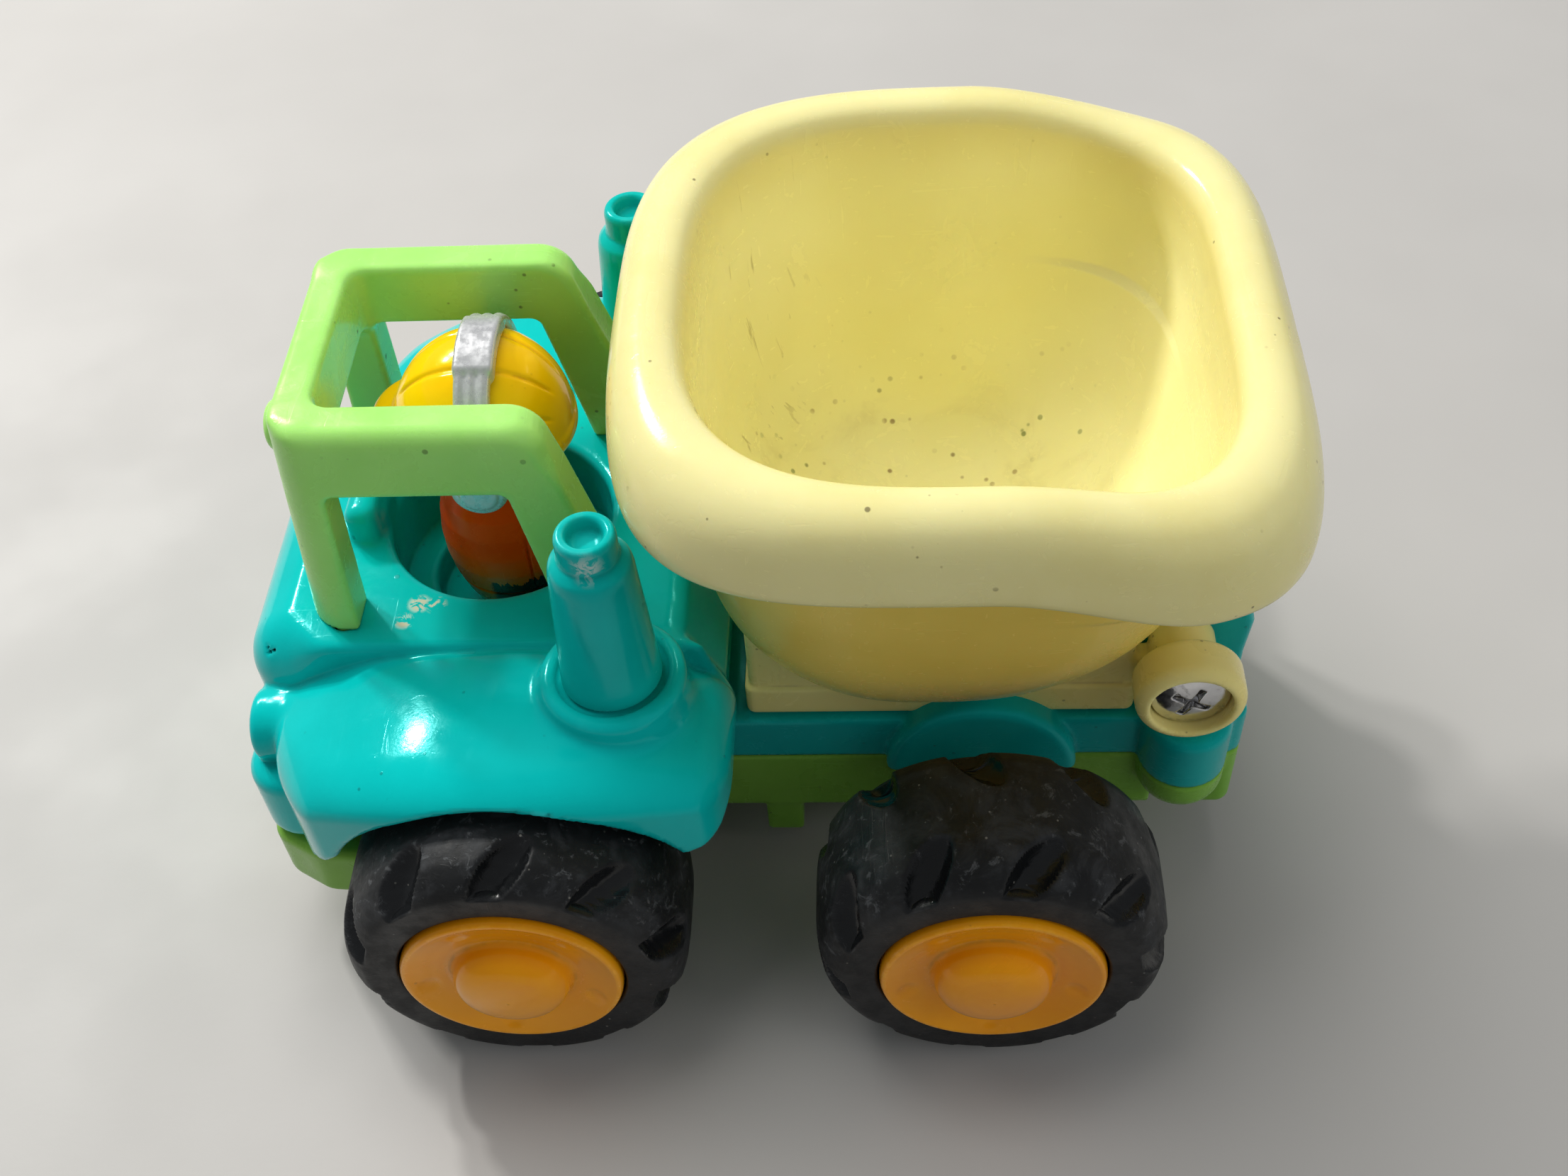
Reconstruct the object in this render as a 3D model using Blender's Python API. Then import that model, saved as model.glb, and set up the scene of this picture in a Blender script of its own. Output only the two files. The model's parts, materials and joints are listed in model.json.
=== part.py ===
"""Toy dump truck for small children, about 12 cm long.

Frame: +X forward (cab end), +Y to the truck's left, +Z up, the floor at z = 0,
the origin on the floor under the middle of the wheelbase.
All dimensions below are in millimetres and are scaled to metres on creation.
"""
import math

import bmesh
import bpy
from mathutils import Vector

MM = 0.001
GAP = 0.3            # clearance kept between neighbouring pieces

# ---------------------------------------------------------------- dimensions
WHEELBASE = 56.0
AXLE_Z = 20.5        # also the tyre radius
TYRE_R = 20.5
TYRE_IN, TYRE_OUT = 33.0, 51.9       # inner and outer side walls, from the middle plane
HUB_R = 13.0
HUB_OUT = 55.4
AXLE_R = 1.6
AXLE_HALF = 47.4

CH_HALF = 20.5       # chassis half width
CH_BOTTOM = 9.3
CH_SPLIT = 20.5
CH_TOP = 27.9
CH_REAR = -60.8

DECK_Z = 45.0
DECK_HALF = 22.0
FENDER_HALF = 45.0    # at the middle of the wing, bowed in by WING_BOW at its ends
WING_BOW = 4.6
ARCH_R = 22.4
WELL_X, WELL_R, WELL_FLOOR = 32.0, 13.8, 31.2
STACK_X, STACK_Y = 15.0, 28.0
STACK_TOP = 70.9

CAGE_TOP = 74.5
CAGE_LOW = 65.8      # underside of the roof rails
CAGE_IN, CAGE_OUT = 11.7, 17.1
CAGE_SPLAY = 0.07

PIVOT_X, PIVOT_Z = -51.7, 38.2
BOX_FRONT, BOX_REAR, BOX_HALF = 1.2, -46.6, 19.8
BOX_BOTTOM = 28.2
RIM_TOP, RIM_LOW = 81.5, 71.2
RIM_FRONT, RIM_REAR, RIM_HALF = 13.8, -62.8, 39.7
RIM_DROP = 3.3       # how much lower the pouring lip is than the sides

DRIVER_X = 31.0

# ------------------------------------------------------------------ helpers
for ob in list(bpy.data.objects):
    bpy.data.objects.remove(ob, do_unlink=True)


def material(name, colour, rough, metal=0.0):
    m = bpy.data.materials.new(name)
    m.use_nodes = True
    b = m.node_tree.nodes["Principled BSDF"]
    b.inputs["Base Color"].default_value = (*colour, 1.0)
    b.inputs["Roughness"].default_value = rough
    b.inputs["Metallic"].default_value = metal
    return m


TURQUOISE = material("turquoise_plastic", (0.0, 0.45, 0.42), 0.25)
GREEN = material("green_plastic", (0.28, 0.62, 0.16), 0.3)
CREAM = material("cream_plastic", (0.85, 0.76, 0.36), 0.3)
ORANGE = material("orange_plastic", (0.95, 0.40, 0.02), 0.3)
RUBBER = material("black_rubber", (0.015, 0.015, 0.015), 0.6)
YELLOW = material("yellow_paint", (0.95, 0.55, 0.01), 0.2)
RED_ORANGE = material("orange_paint", (0.9, 0.2, 0.01), 0.2)
SKIN = material("skin_plastic", (0.8, 0.5, 0.35), 0.4)
SILVER = material("silver_paint", (0.6, 0.62, 0.65), 0.3, 0.8)
STEEL = material("steel", (0.6, 0.6, 0.62), 0.3, 1.0)
CHROME = material("chrome", (0.8, 0.8, 0.82), 0.1, 1.0)
WHITE = material("white_nylon", (0.8, 0.8, 0.78), 0.45)
BRASS = material("zinc_weight", (0.45, 0.45, 0.46), 0.4, 1.0)


def make(name, verts, faces, mat, origin=(0.0, 0.0, 0.0), smooth=True, guide=False):
    """An object from millimetre points, its origin at `origin`."""
    o = Vector(origin)
    mesh = bpy.data.meshes.new(name)
    mesh.from_pydata([tuple((Vector(v) - o) * MM) for v in verts], [], faces)
    bm = bmesh.new()
    bm.from_mesh(mesh)
    bmesh.ops.recalc_face_normals(bm, faces=bm.faces)
    bm.to_mesh(mesh)
    bm.free()
    mesh.update()
    ob = bpy.data.objects.new(name, mesh)
    bpy.context.scene.collection.objects.link(ob)
    ob.location = o * MM
    if mat is not None:
        mesh.materials.append(mat)
    if smooth:
        mesh.shade_smooth()
        mesh.set_sharp_from_angle(angle=math.radians(35))
    if guide:
        ob.hide_render = True
        ob.display_type = "WIRE"
    return ob


def loft(rings):
    """Closed solid through rings of equal length, the ends capped."""
    n = len(rings[0])
    verts = [p for r in rings for p in r]
    faces = []
    for i in range(len(rings) - 1):
        a, b = i * n, (i + 1) * n
        for j in range(n):
            k = (j + 1) % n
            faces.append((a + j, a + k, b + k, b + j))
    faces.append(tuple(range(n)))
    faces.append(tuple(range((len(rings) - 1) * n, len(rings) * n)))
    return verts, faces


def lathe(profile, centre, axis, segs, closed=False):
    """Turn (radius, height) points about an axis through `centre`.

    Heights are absolute along the axis. An open profile starts and ends at
    radius 0; a closed one is a loop clear of the axis.
    """
    verts, rows = [], []
    for r, h in profile:
        if r <= 1e-9:
            rows.append([len(verts)])
            verts.append(place(0.0, 0.0, h, centre, axis))
        else:
            row = []
            for i in range(segs):
                t = 2.0 * math.pi * i / segs
                row.append(len(verts))
                verts.append(place(r * math.cos(t), r * math.sin(t), h, centre, axis))
            rows.append(row)
    faces = []
    m = len(rows)
    for i in range(m if closed else m - 1):
        a, b = rows[i], rows[(i + 1) % m]
        if len(a) == 1 and len(b) == 1:
            continue
        for j in range(segs):
            k = (j + 1) % segs
            if len(a) == 1:
                faces.append((a[0], b[k], b[j]))
            elif len(b) == 1:
                faces.append((a[j], a[k], b[0]))
            else:
                faces.append((a[j], a[k], b[k], b[j]))
    return verts, faces


def place(u, v, h, centre, axis):
    if axis == "Y":
        return (centre[0] + u, h, centre[1] + v)
    if axis == "Z":
        return (centre[0] + u, centre[1] + v, h)
    return (h, centre[0] + u, centre[1] + v)


def prism(outline, lo, hi, axis):
    """Extrude a plane outline from lo to hi along an axis."""
    def at(p, h):
        if axis == "Y":
            return (p[0], h, p[1])
        if axis == "Z":
            return (p[0], p[1], h)
        return (h, p[0], p[1])
    return loft([[at(p, lo) for p in outline], [at(p, hi) for p in outline]])


def rounded(points, radii, segs=3):
    """A polygon with its corners rounded."""
    out = []
    n = len(points)
    for i, p in enumerate(points):
        r = radii[i] if isinstance(radii, (list, tuple)) else radii
        p = Vector(p)
        a = (Vector(points[i - 1]) - p)
        b = (Vector(points[(i + 1) % n]) - p)
        if r <= 0:
            out.append(tuple(p))
            continue
        a.normalize()
        b.normalize()
        half = math.acos(max(-1.0, min(1.0, a.dot(b)))) / 2.0
        d = r / math.tan(half)
        c = p + (a + b).normalized() * (r / math.sin(half))
        s, e = p + a * d - c, p + b * d - c
        ang = math.acos(max(-1.0, min(1.0, s.normalized().dot(e.normalized()))))
        for k in range(segs + 1):
            t = k / segs
            v = (s * math.sin((1 - t) * ang) + e * math.sin(t * ang)) / math.sin(ang)
            out.append(tuple(c + v))
    return out


def box(x0, x1, y0, y1, z0, z1, r=0.0, segs=2):
    pts = [(x0, y0), (x1, y0), (x1, y1), (x0, y1)]
    if r > 0:
        pts = rounded(pts, r, segs)
    return prism(pts, z0, z1, "Z")


def rod(r, lo, hi, centre, axis, segs=20, chamfer=0.0):
    if chamfer > 0:
        prof = [(r - chamfer, lo), (r, lo + chamfer), (r, hi - chamfer), (r - chamfer, hi)]
    else:
        prof = [(r, lo), (r, hi)]
    rings = []
    for q, h in prof:
        ring = []
        for i in range(segs):
            t = 2.0 * math.pi * (i + 0.31) / segs
            ring.append(place(q * math.cos(t), q * math.sin(t), h, centre, axis))
        rings.append(ring)
    return loft(rings)


_tool = [0]


def boolean(ob, op, shape):
    _tool[0] += 1
    tool = make("guide_%s_%02d" % (ob.name, _tool[0]), shape[0], shape[1], None,
                smooth=False, guide=True)
    m = ob.modifiers.new("%s_%02d" % (op.lower(), _tool[0]), "BOOLEAN")
    m.operation = op
    m.solver = "EXACT"
    m.object = tool
    return tool


def cut(ob, shape):
    return boolean(ob, "DIFFERENCE", shape)


def add(ob, shape):
    return boolean(ob, "UNION", shape)


def smoothstep(e0, e1, x):
    t = max(0.0, min(1.0, (x - e0) / (e1 - e0)))
    return t * t * (3.0 - 2.0 * t)


# ------------------------------------------------------------------- wheels
def wheel(tag, x, side):
    s = float(side)
    c = (x, AXLE_Z)
    prof = [(12.2, 34.0), (16.6, TYRE_IN), (19.2, 34.3), (TYRE_R, 37.0),
            (TYRE_R, 49.2), (19.5, 51.1), (17.3, TYRE_OUT),
            (13.4, TYRE_OUT), (13.3, 49.6), (12.2, 49.3)]
    make("tyre_" + tag, *lathe([(r, s * y) for r, y in prof], c, "Y", 28, True), RUBBER,
         origin=(x, 0, AXLE_Z))
    prof = [(0, HUB_OUT), (3.4, 55.1), (5.7, 54.7), (6.8, 54.0), (7.1, 53.2), (7.6, 52.8),
            (8.1, 53.2), (12.4, 52.4), (HUB_R, 52.0), (HUB_R, 49.9), (11.9, 49.6),
            (11.9, 35.6), (3.4, 35.4), (3.4, 33.4), (1.9, 33.4), (1.9, 47.8), (0, 47.8)]
    make("hub_" + tag, *lathe([(r, s * y) for r, y in prof], c, "Y", 20), ORANGE,
         origin=(x, 0, AXLE_Z))


for tag, x in (("front", WHEELBASE / 2), ("rear", -WHEELBASE / 2)):
    wheel(tag + "_left", x, 1)
    wheel(tag + "_right", x, -1)
    make(tag + "_axle", *rod(AXLE_R, -AXLE_HALF, AXLE_HALF, (x, AXLE_Z), "Y", 12, 0.4), STEEL,
         origin=(x, 0, AXLE_Z))

# ------------------------------------------------------------ lower chassis
outline = rounded([(CH_REAR, -CH_HALF), (52.0, -CH_HALF), (52.0, CH_HALF), (CH_REAR, CH_HALF)],
                  [4, 2, 2, 4], 2)
chassis_bottom = make("chassis_bottom", *prism(outline, CH_BOTTOM, CH_SPLIT - 0.15, "Z"), GREEN)
cut(chassis_bottom, box(CH_REAR + 2.2, 49.5, -CH_HALF + 2.2, CH_HALF - 2.2, CH_BOTTOM + 2.2, 30.0))
# the bumper across the front
bumper = rounded([(48.0, -33.0), (61.4, -29.5), (61.4, 29.5), (48.0, 33.0)], [1.5, 5, 5, 1.5], 2)
add(chassis_bottom, prism(bumper, CH_BOTTOM - 0.2, 18.4, "Z"))
POSTS = ((-53.2, 20.5), (-53.2, -20.5))
for px, py in POSTS:
    add(chassis_bottom, lathe([(0, 14.2), (4.4, 14.4), (5.5, 16.0), (5.5, CH_SPLIT - 0.15),
                               (0, CH_SPLIT - 0.15)], (px, py), "Z", 16))
for s in (-1, 1):
    ys = sorted((s * 16.9, s * 20.4))
    add(chassis_bottom, box(-4.9, -0.1, ys[0], ys[1], 3.6, CH_BOTTOM + 1.0))
for x in (WHEELBASE / 2, -WHEELBASE / 2):
    cut(chassis_bottom, rod(AXLE_R + GAP, -30, 30, (x, AXLE_Z), "Y", 16))
SCREWS = (("screw_rear_left", -53.2, 20.5, 14.2), ("screw_rear_right", -53.2, -20.5, 14.2),
          ("screw_mid_left", 6.0, 13.0, CH_BOTTOM), ("screw_mid_right", 6.0, -13.0, CH_BOTTOM),
          ("screw_front_left", 45.0, 13.0, CH_BOTTOM), ("screw_front_right", 45.0, -13.0, CH_BOTTOM))
for name, sx, sy, z0 in SCREWS:
    if z0 == CH_BOTTOM:
        add(chassis_bottom, rod(4.2, CH_BOTTOM + 1.0, CH_SPLIT - 0.15, (sx, sy), "Z", 12))
    cut(chassis_bottom, rod(2.95, z0 - 2.0, z0 + 2.2, (sx, sy), "Z", 12))
    cut(chassis_bottom, rod(1.55, z0 + 1.0, 25.0, (sx, sy), "Z", 10))

# ------------------------------------------------------------ upper chassis
chassis_top = make("chassis_top", *prism(outline, CH_SPLIT + 0.15, CH_TOP, "Z"), TURQUOISE)
cut(chassis_top, box(CH_REAR + 2.2, 49.5, -CH_HALF + 2.2, CH_HALF - 2.2, 10.0, CH_TOP - 2.0))
# round housings over the rear axle's ends
for s in (-1, 1):
    prof = [(0, s * 20.12), (11.9, s * 20.12), (11.9, s * 21.8), (10.2, s * 23.0), (0, s * 23.0)]
    add(chassis_top, lathe(prof, (-WHEELBASE / 2, AXLE_Z), "Y", 24))
for px, py in POSTS:
    add(chassis_top, lathe([(0, CH_SPLIT + 0.15), (5.5, CH_SPLIT + 0.15), (5.5, 28.4),
                            (4.6, 29.3), (0, 29.5)], (px, py), "Z", 16))
# the upright between the tub's two bosses, round about the pivot
up = [(-47.1, CH_TOP - 1.0), (-47.1, PIVOT_Z)]
for k in range(1, 5):
    t = math.radians(90.0 * k / 4)
    up.append((PIVOT_X + 4.3 * math.cos(t), PIVOT_Z + 4.3 * math.sin(t)))
up += [(-57.0, 43.4), (-59.6, 42.2), (-60.4, 39.6), (-59.9, 34.0), (-59.8, CH_TOP - 1.0)]
add(chassis_top, prism(up, -15.4, 15.4, "Y"))
cut(chassis_top, box(-80, 60, -40, 40, 0.0, CH_SPLIT + 0.15))
for x in (WHEELBASE / 2, -WHEELBASE / 2):
    cut(chassis_top, rod(AXLE_R + GAP, -30, 30, (x, AXLE_Z), "Y", 16))
cut(chassis_top, box(CH_REAR + 2.2, 49.5, -CH_HALF + 2.2, CH_HALF - 2.2, 10.0, CH_TOP - 2.0))
for name, sx, sy, z0 in SCREWS:
    if z0 == CH_BOTTOM:
        add(chassis_top, rod(3.4, CH_SPLIT + 0.15, CH_TOP - 1.0, (sx, sy), "Z", 12))
    cut(chassis_top, rod(1.55, 5.0, 25.0, (sx, sy), "Z", 10))
for s in (-1, 1):
    ends = sorted((s * 6.0, s * 30.0))
    cut(chassis_top, rod(1.5, ends[0], ends[1], (PIVOT_X, PIVOT_Z), "Y", 12))


def pan_screw(name, sx, sy, z_head, length, mat=STEEL):
    """A pan head screw driven upwards."""
    prof = [(0, z_head), (2.0, z_head), (2.6, z_head + 0.6), (2.6, z_head + 1.5),
            (1.2, z_head + 1.5), (1.2, z_head + length - 0.8), (0, z_head + length)]
    return make(name, *lathe(prof, (sx, sy), "Z", 12), mat)


for name, sx, sy, z0 in SCREWS:
    pan_screw(name, sx, sy, z0 + 0.3, min(24.6, z0 + 14.0) - z0 - 0.3)


# ---------------------------------------------------------------- cab shell
def fender_top(x):
    return 45.6 - (x - 27.0) ** 2 / 104.0


def wing_half(x):
    return FENDER_HALF - WING_BOW * ((x - 28.0) / 24.0) ** 2


def cab_section(half, deck, top, low):
    """Half section of the cab at one station, from the middle outwards."""
    d = min(DECK_HALF, half - 8.0)
    w = half - d - 1.0
    turn = top - min(6.2, 0.6 * (top - low))
    side = max(low + 1.2, min(turn - 0.8, top - 11.0))
    return [(0, deck), (d - 5.0, deck), (d - 1.2, deck - 0.2), (d, deck - 1.4),
            (d + 1.0, top - 1.0), (d + 1.0 + 0.12 * w, top - 0.1), (d + 1.0 + 0.38 * w, top + 0.4),
            (d + 1.0 + 0.66 * w, top + 0.1), (d + 1.0 + 0.84 * w, top - 0.9),
            (d + 1.0 + 0.95 * w, 0.55 * top + 0.45 * turn), (half, turn), (half - 0.2, side),
            (half - 1.4, low), (half - 4.0, low), (0, low)]


# station, half width less the wing's own bow, deck level, lowering of the wing, underside
CAB = ((2.0, -2.6, 41.8, 0.0, 33.0), (3.2, -0.6, 43.6, 0.0, 31.2), (5.6, 0.3, 44.8, 0.0, 30.2),
       (9.0, 0.4, 45.0, 0.0, 29.8), (18.0, 0.2, 45.0, 0.0, 28.8), (28.0, 0.0, 45.0, 0.0, 28.8),
       (38.0, 0.2, 45.0, 0.0, 28.8), (46.0, 0.4, 45.0, 0.0, 28.8), (51.0, 0.5, 44.9, 0.0, 27.0),
       (54.0, -0.2, 44.7, 0.0, 24.6), (57.0, -0.9, 44.1, 0.0, 21.6), (59.4, -1.4, 42.8, 0.0, 19.6),
       (61.2, -2.4, 40.4, -0.6, 19.2), (62.3, -5.4, 37.0, -2.2, 20.4))
rings = []
for x, extra, deck, lower, low in CAB:
    top = min(fender_top(x) + lower, deck + 0.5)
    if x < 5.0:
        top = min(top, deck - 1.0)
    sec = cab_section(wing_half(x) + extra, deck, top, low)
    ring = [(x, y, z) for y, z in sec] + [(x, -y, z) for y, z in reversed(sec[1:-1])]
    rings.append(ring)
cab = make("cab_shell", *loft(rings), TURQUOISE)
for s in (-1, 1):
    # collar under each exhaust, with its flare down the wing
    add(cab, lathe([(0, 38.0), (11.6, 41.0), (9.2, 44.8), (8.5, 46.0), (8.4, 47.0), (7.7, 47.9),
                    (6.7, 47.9), (6.1, 47.2), (0, 47.2)], (STACK_X, s * STACK_Y), "Z", 18))
    # head lamp housings on the nose
    add(cab, lathe([(0, 54.0), (4.6, 54.0), (4.6, 61.4), (3.8, 62.4), (2.6, 62.8), (2.2, 61.8),
                    (0, 61.6)], (s * 24.0, 33.0), "X", 12))
# moulded dashboard in front of the driver's well
dash = rounded([(46.3, -5.2), (50.6, -5.2), (50.6, 5.2), (46.3, 5.2)], 1.9, 2)
add(cab, prism(dash, 42.0, 50.2, "Z"))
# wheel arches
for s in (-1, 1):
    ends = sorted((s * 24.2, s * 60.0))
    cut(cab, rod(ARCH_R, ends[0], ends[1], (WHEELBASE / 2, AXLE_Z), "Y", 36))
    cut(cab, box(5.0, 51.0, min(s * 24.2, s * 60), max(s * 24.2, s * 60), 10.0, 25.5))
# room for the chassis and the hollow above it
cut(cab, box(-5.0, 52.4, -CH_HALF - 0.8, CH_HALF + 0.8, 10.0, CH_TOP + 0.4))
cut(cab, box(3.6, 58.0, -26.0, 26.0, 10.0, 20.3))
cut(cab, box(-5.0, 8.2, -19.2, 19.2, 20.0, 60.0))          # the tub stands in this recess
hollow = box(10.4, 58.4, -19.6, 19.6, CH_TOP, 42.2, 2.0, 2)
tool = cut(cab, hollow)
keep = make("guide_well_cup", *rod(WELL_R + 2.2, 10.0, 60.0, (WELL_X, 0), "Z", 24), None,
            smooth=False, guide=True)
m = tool.modifiers.new("keep_cup", "BOOLEAN")
m.operation = "DIFFERENCE"
m.solver = "EXACT"
m.object = keep
# the well: a wide bore above a narrower seat
cut(cab, lathe([(0, WELL_FLOOR), (9.8, WELL_FLOOR), (9.8, 35.0), (WELL_R, 35.2), (WELL_R, 44.2),
                (WELL_R + 0.6, 46.0), (0, 46.0)], (WELL_X, 0), "Z", 24))
cut(cab, rod(2.5, 20.0, 40.0, (DRIVER_X, 0), "Z", 14))
CAGE_PEGS = ((48.6, 17.6), (48.6, -17.6), (16.6, 17.6), (16.6, -17.6))
for px, py in CAGE_PEGS:
    cut(cab, rod(1.5, 38.0, 50.0, (px, py), "Z", 12))
for s in (-1, 1):
    cut(cab, rod(3.1, 41.0, 60.0, (STACK_X, s * STACK_Y), "Z", 16))

# ------------------------------------------------------------------ exhausts
for tag, s in (("left", 1), ("right", -1)):
    prof = [(0, 41.6), (2.8, 41.6), (2.8, 47.5), (5.8, 47.5), (5.75, 49.0), (4.7, 65.2),
            (4.4, 66.4), (3.7, 67.2), (3.3, 67.6), (3.3, 70.2), (2.9, STACK_TOP),
            (2.2, STACK_TOP), (1.7, 70.0), (0, 69.6)]
    make("exhaust_" + tag, *lathe(prof, (STACK_X, s * STACK_Y), "Z", 16), TURQUOISE)


# ----------------------------------------------------------------- roll cage
def rail(side):
    """One side of the cage: a front leg, the roof rail and a raked rear leg."""
    pts = rounded([(52.4, 45.3), (50.6, CAGE_TOP), (21.6, CAGE_TOP), (13.0, 45.3), (21.8, 45.3),
                   (25.6, CAGE_LOW), (45.5, CAGE_LOW), (46.0, 45.3)],
                  [0.6, 4.4, 4.4, 0.6, 0.6, 1.6, 1.6, 0.6], 3)
    outer = [(x, side * (CAGE_OUT + (CAGE_TOP - z) * CAGE_SPLAY), z) for x, z in pts]
    inner = [(x, side * (CAGE_IN + (CAGE_TOP - z) * CAGE_SPLAY), z) for x, z in pts]
    return loft([inner, outer])


cage = make("roll_cage", *rail(1), GREEN)
add(cage, rail(-1))
front = rounded([(46.9, -13.2), (50.6, -13.2), (50.6, 13.2), (46.9, 13.2)], 0.9, 2)
add(cage, prism(front, CAGE_LOW + 0.2, CAGE_TOP - 0.2, "Z"))
# one lamp on the left of the front rail
add(cage, lathe([(0, 48.5), (2.6, 48.5), (2.6, 51.6), (1.8, 52.6), (0, 52.9)], (9.2, 69.4), "X", 12))
for px, py in CAGE_PEGS:
    add(cage, rod(1.2, 42.2, 46.5, (px, py), "Z", 10))


# --------------------------------------------------------------- dump bucket
def plan_ring(z, front, rear, half, n_front, n_rear, drop, count, flat=0.0):
    """A rounded plan outline of the bucket at one level."""
    a, xc = (front - rear) / 2.0, (front + rear) / 2.0
    out = []
    for i in range(count):
        t = 2.0 * math.pi * (i + 0.5) / count
        c, s = math.cos(t), math.sin(t)
        n = n_front if c > 0 else n_rear
        x = xc + a * math.copysign(abs(c) ** (2.0 / n), c)
        y = half * math.copysign(abs(s) ** (2.0 / n), s)
        out.append((x, y, z - drop * smoothstep(-27.0, -50.0, x)))
    return out


# level, front, rear, half width, squareness, share of the lip's drop
OUTER = ((30.9, -13.0, -29.5, 12.0, 2.2, 0.0), (31.6, -10.0, -33.0, 16.5, 2.4, 0.0),
         (33.6, -7.0, -37.0, 21.0, 2.6, 0.0), (37.4, -1.6, -41.6, 25.0, 2.8, 0.0),
         (45.5, 4.0, -49.2, 29.2, 3.0, 0.0), (56.0, 6.3, -53.6, 31.8, 3.2, 0.1),
         (66.0, 7.8, -56.0, 33.4, 3.4, 0.5), (76.8, 8.6, -57.0, 34.4, 3.2, 1.0),
         (78.4, 9.6, -57.9, 35.4, 3.2, 1.0), (78.2, 11.0, -59.2, 36.8, 3.4, 1.0),
         (71.4, 11.4, -60.2, 37.4, 3.5, 1.0), (RIM_LOW, 12.6, -61.6, 38.8, 3.6, 1.0),
         (72.4, RIM_FRONT, RIM_REAR, RIM_HALF, 3.6, 1.0), (77.4, 13.4, -61.4, 39.1, 3.2, 1.0),
         (80.2, 12.2, -60.0, 37.8, 3.0, 1.0), (RIM_TOP, 10.0, -57.8, 35.6, 2.9, 1.0),
         (RIM_TOP, 8.2, -56.2, 33.8, 2.9, 1.0), (80.2, 6.6, -54.9, 32.4, 2.9, 1.0),
         (77.0, 6.2, -54.5, 32.0, 2.95, 1.0), (66.0, 5.4, -53.6, 31.0, 3.3, 0.5),
         (56.0, 4.0, -51.2, 29.5, 3.1, 0.1), (46.0, 1.6, -46.8, 26.8, 2.9, 0.0),
         (39.0, -3.6, -39.8, 23.0, 2.7, 0.0), (35.4, -9.4, -34.6, 18.4, 2.5, 0.0),
         (33.4, -14.0, -29.0, 12.5, 2.3, 0.0))
tub = make("bucket_tub", *loft([plan_ring(z, f, r, h, n, n + (0.8 if z > 60 else 0.3),
                                          RIM_DROP * d, 32) for z, f, r, h, n, d in OUTER]),
           CREAM, origin=(PIVOT_X, 0, PIVOT_Z))
TUB_SCREWS = ((-13.5, 0.0), (-29.0, 0.0))
for sx, sy in TUB_SCREWS:
    add(tub, rod(3.0, 30.6, 32.6, (sx, sy), "Z", 14))
    cut(tub, rod(0.9, 29.0, 32.9, (sx, sy), "Z", 8))

base = make("bucket_base", *box(BOX_REAR, BOX_FRONT, -BOX_HALF, BOX_HALF, BOX_BOTTOM, 52.0, 1.2, 2),
            CREAM, origin=(PIVOT_X, 0, PIVOT_Z))
# ledge along the foot of both sides and the front
for s in (-1, 1):
    ys = sorted((s * (BOX_HALF - 0.5), s * (BOX_HALF + 3.0)))
    cut(base, box(BOX_REAR - 3.0, BOX_FRONT + 2.0, ys[0], ys[1], 33.4, 60.0))
clear = [(z - 0.4, f + 0.4, r - 0.4, h + 0.4, n) for z, f, r, h, n, d in OUTER[:6]]
clear.append((60.0, 8.0, -55.0, 33.0, 3.3))
cut(base, loft([plan_ring(z, f, r, h, n, n + 0.3, 0.0, 32) for z, f, r, h, n in clear]))
cut(base, box(BOX_REAR + 2.2, BOX_FRONT - 2.2, -BOX_HALF + 2.5, BOX_HALF - 2.5, 30.2, 60.0))
for s in (-1, 1):
    def span(a, b):
        return sorted((s * a, s * b))
    a, b = span(16.25, 19.05)
    add(base, box(-51.6, -45.1, a, b, 30.3, 37.7))
    a, b = span(16.0, 22.2)
    add(base, rod(3.9, a, b, (PIVOT_X, PIVOT_Z), "Y", 16))
    a, b = span(21.4, 26.2)
    add(base, rod(6.45, a, b, (PIVOT_X, PIVOT_Z), "Y", 24, 0.7))
    a, b = span(22.6, 30.0)
    cut(base, rod(4.7, a, b, (PIVOT_X, PIVOT_Z), "Y", 20))
    a, b = span(10.0, 30.0)
    cut(base, rod(1.55, a, b, (PIVOT_X, PIVOT_Z), "Y", 12))
for sx, sy in TUB_SCREWS:
    cut(base, rod(1.4, 27.0, 31.0, (sx, sy), "Z", 10))
for i, (sx, sy) in enumerate(TUB_SCREWS):
    prof = [(0, 28.35), (1.9, 28.35), (2.2, 28.6), (2.2, 29.2), (0.6, 29.2), (0.6, 32.4), (0, 32.7)]
    cut(base, rod(2.5, 27.0, 29.5, (sx, sy), "Z", 12))
    make("tub_screw_%s" % ("front", "rear")[i], *lathe(prof, (sx, sy), "Z", 12), STEEL)

for tag, s in (("left", 1), ("right", -1)):
    prof = [(0, 24.9), (2.6, 24.8), (3.8, 24.2), (4.35, 23.4), (4.35, 22.9), (1.2, 22.9),
            (1.2, 8.0), (0.3, 7.0), (0, 7.0)]
    ob = make("pivot_screw_" + tag, *lathe([(r, s * y) for r, y in prof], (PIVOT_X, PIVOT_Z), "Y", 20),
              CHROME)
    a, b = sorted((s * 23.6, s * 26.0))
    cut(ob, box(PIVOT_X - 2.2, PIVOT_X + 2.2, a, b, PIVOT_Z - 0.4, PIVOT_Z + 0.4))
    cut(ob, box(PIVOT_X - 0.4, PIVOT_X + 0.4, a, b, PIVOT_Z - 2.2, PIVOT_Z + 2.2))

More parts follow.
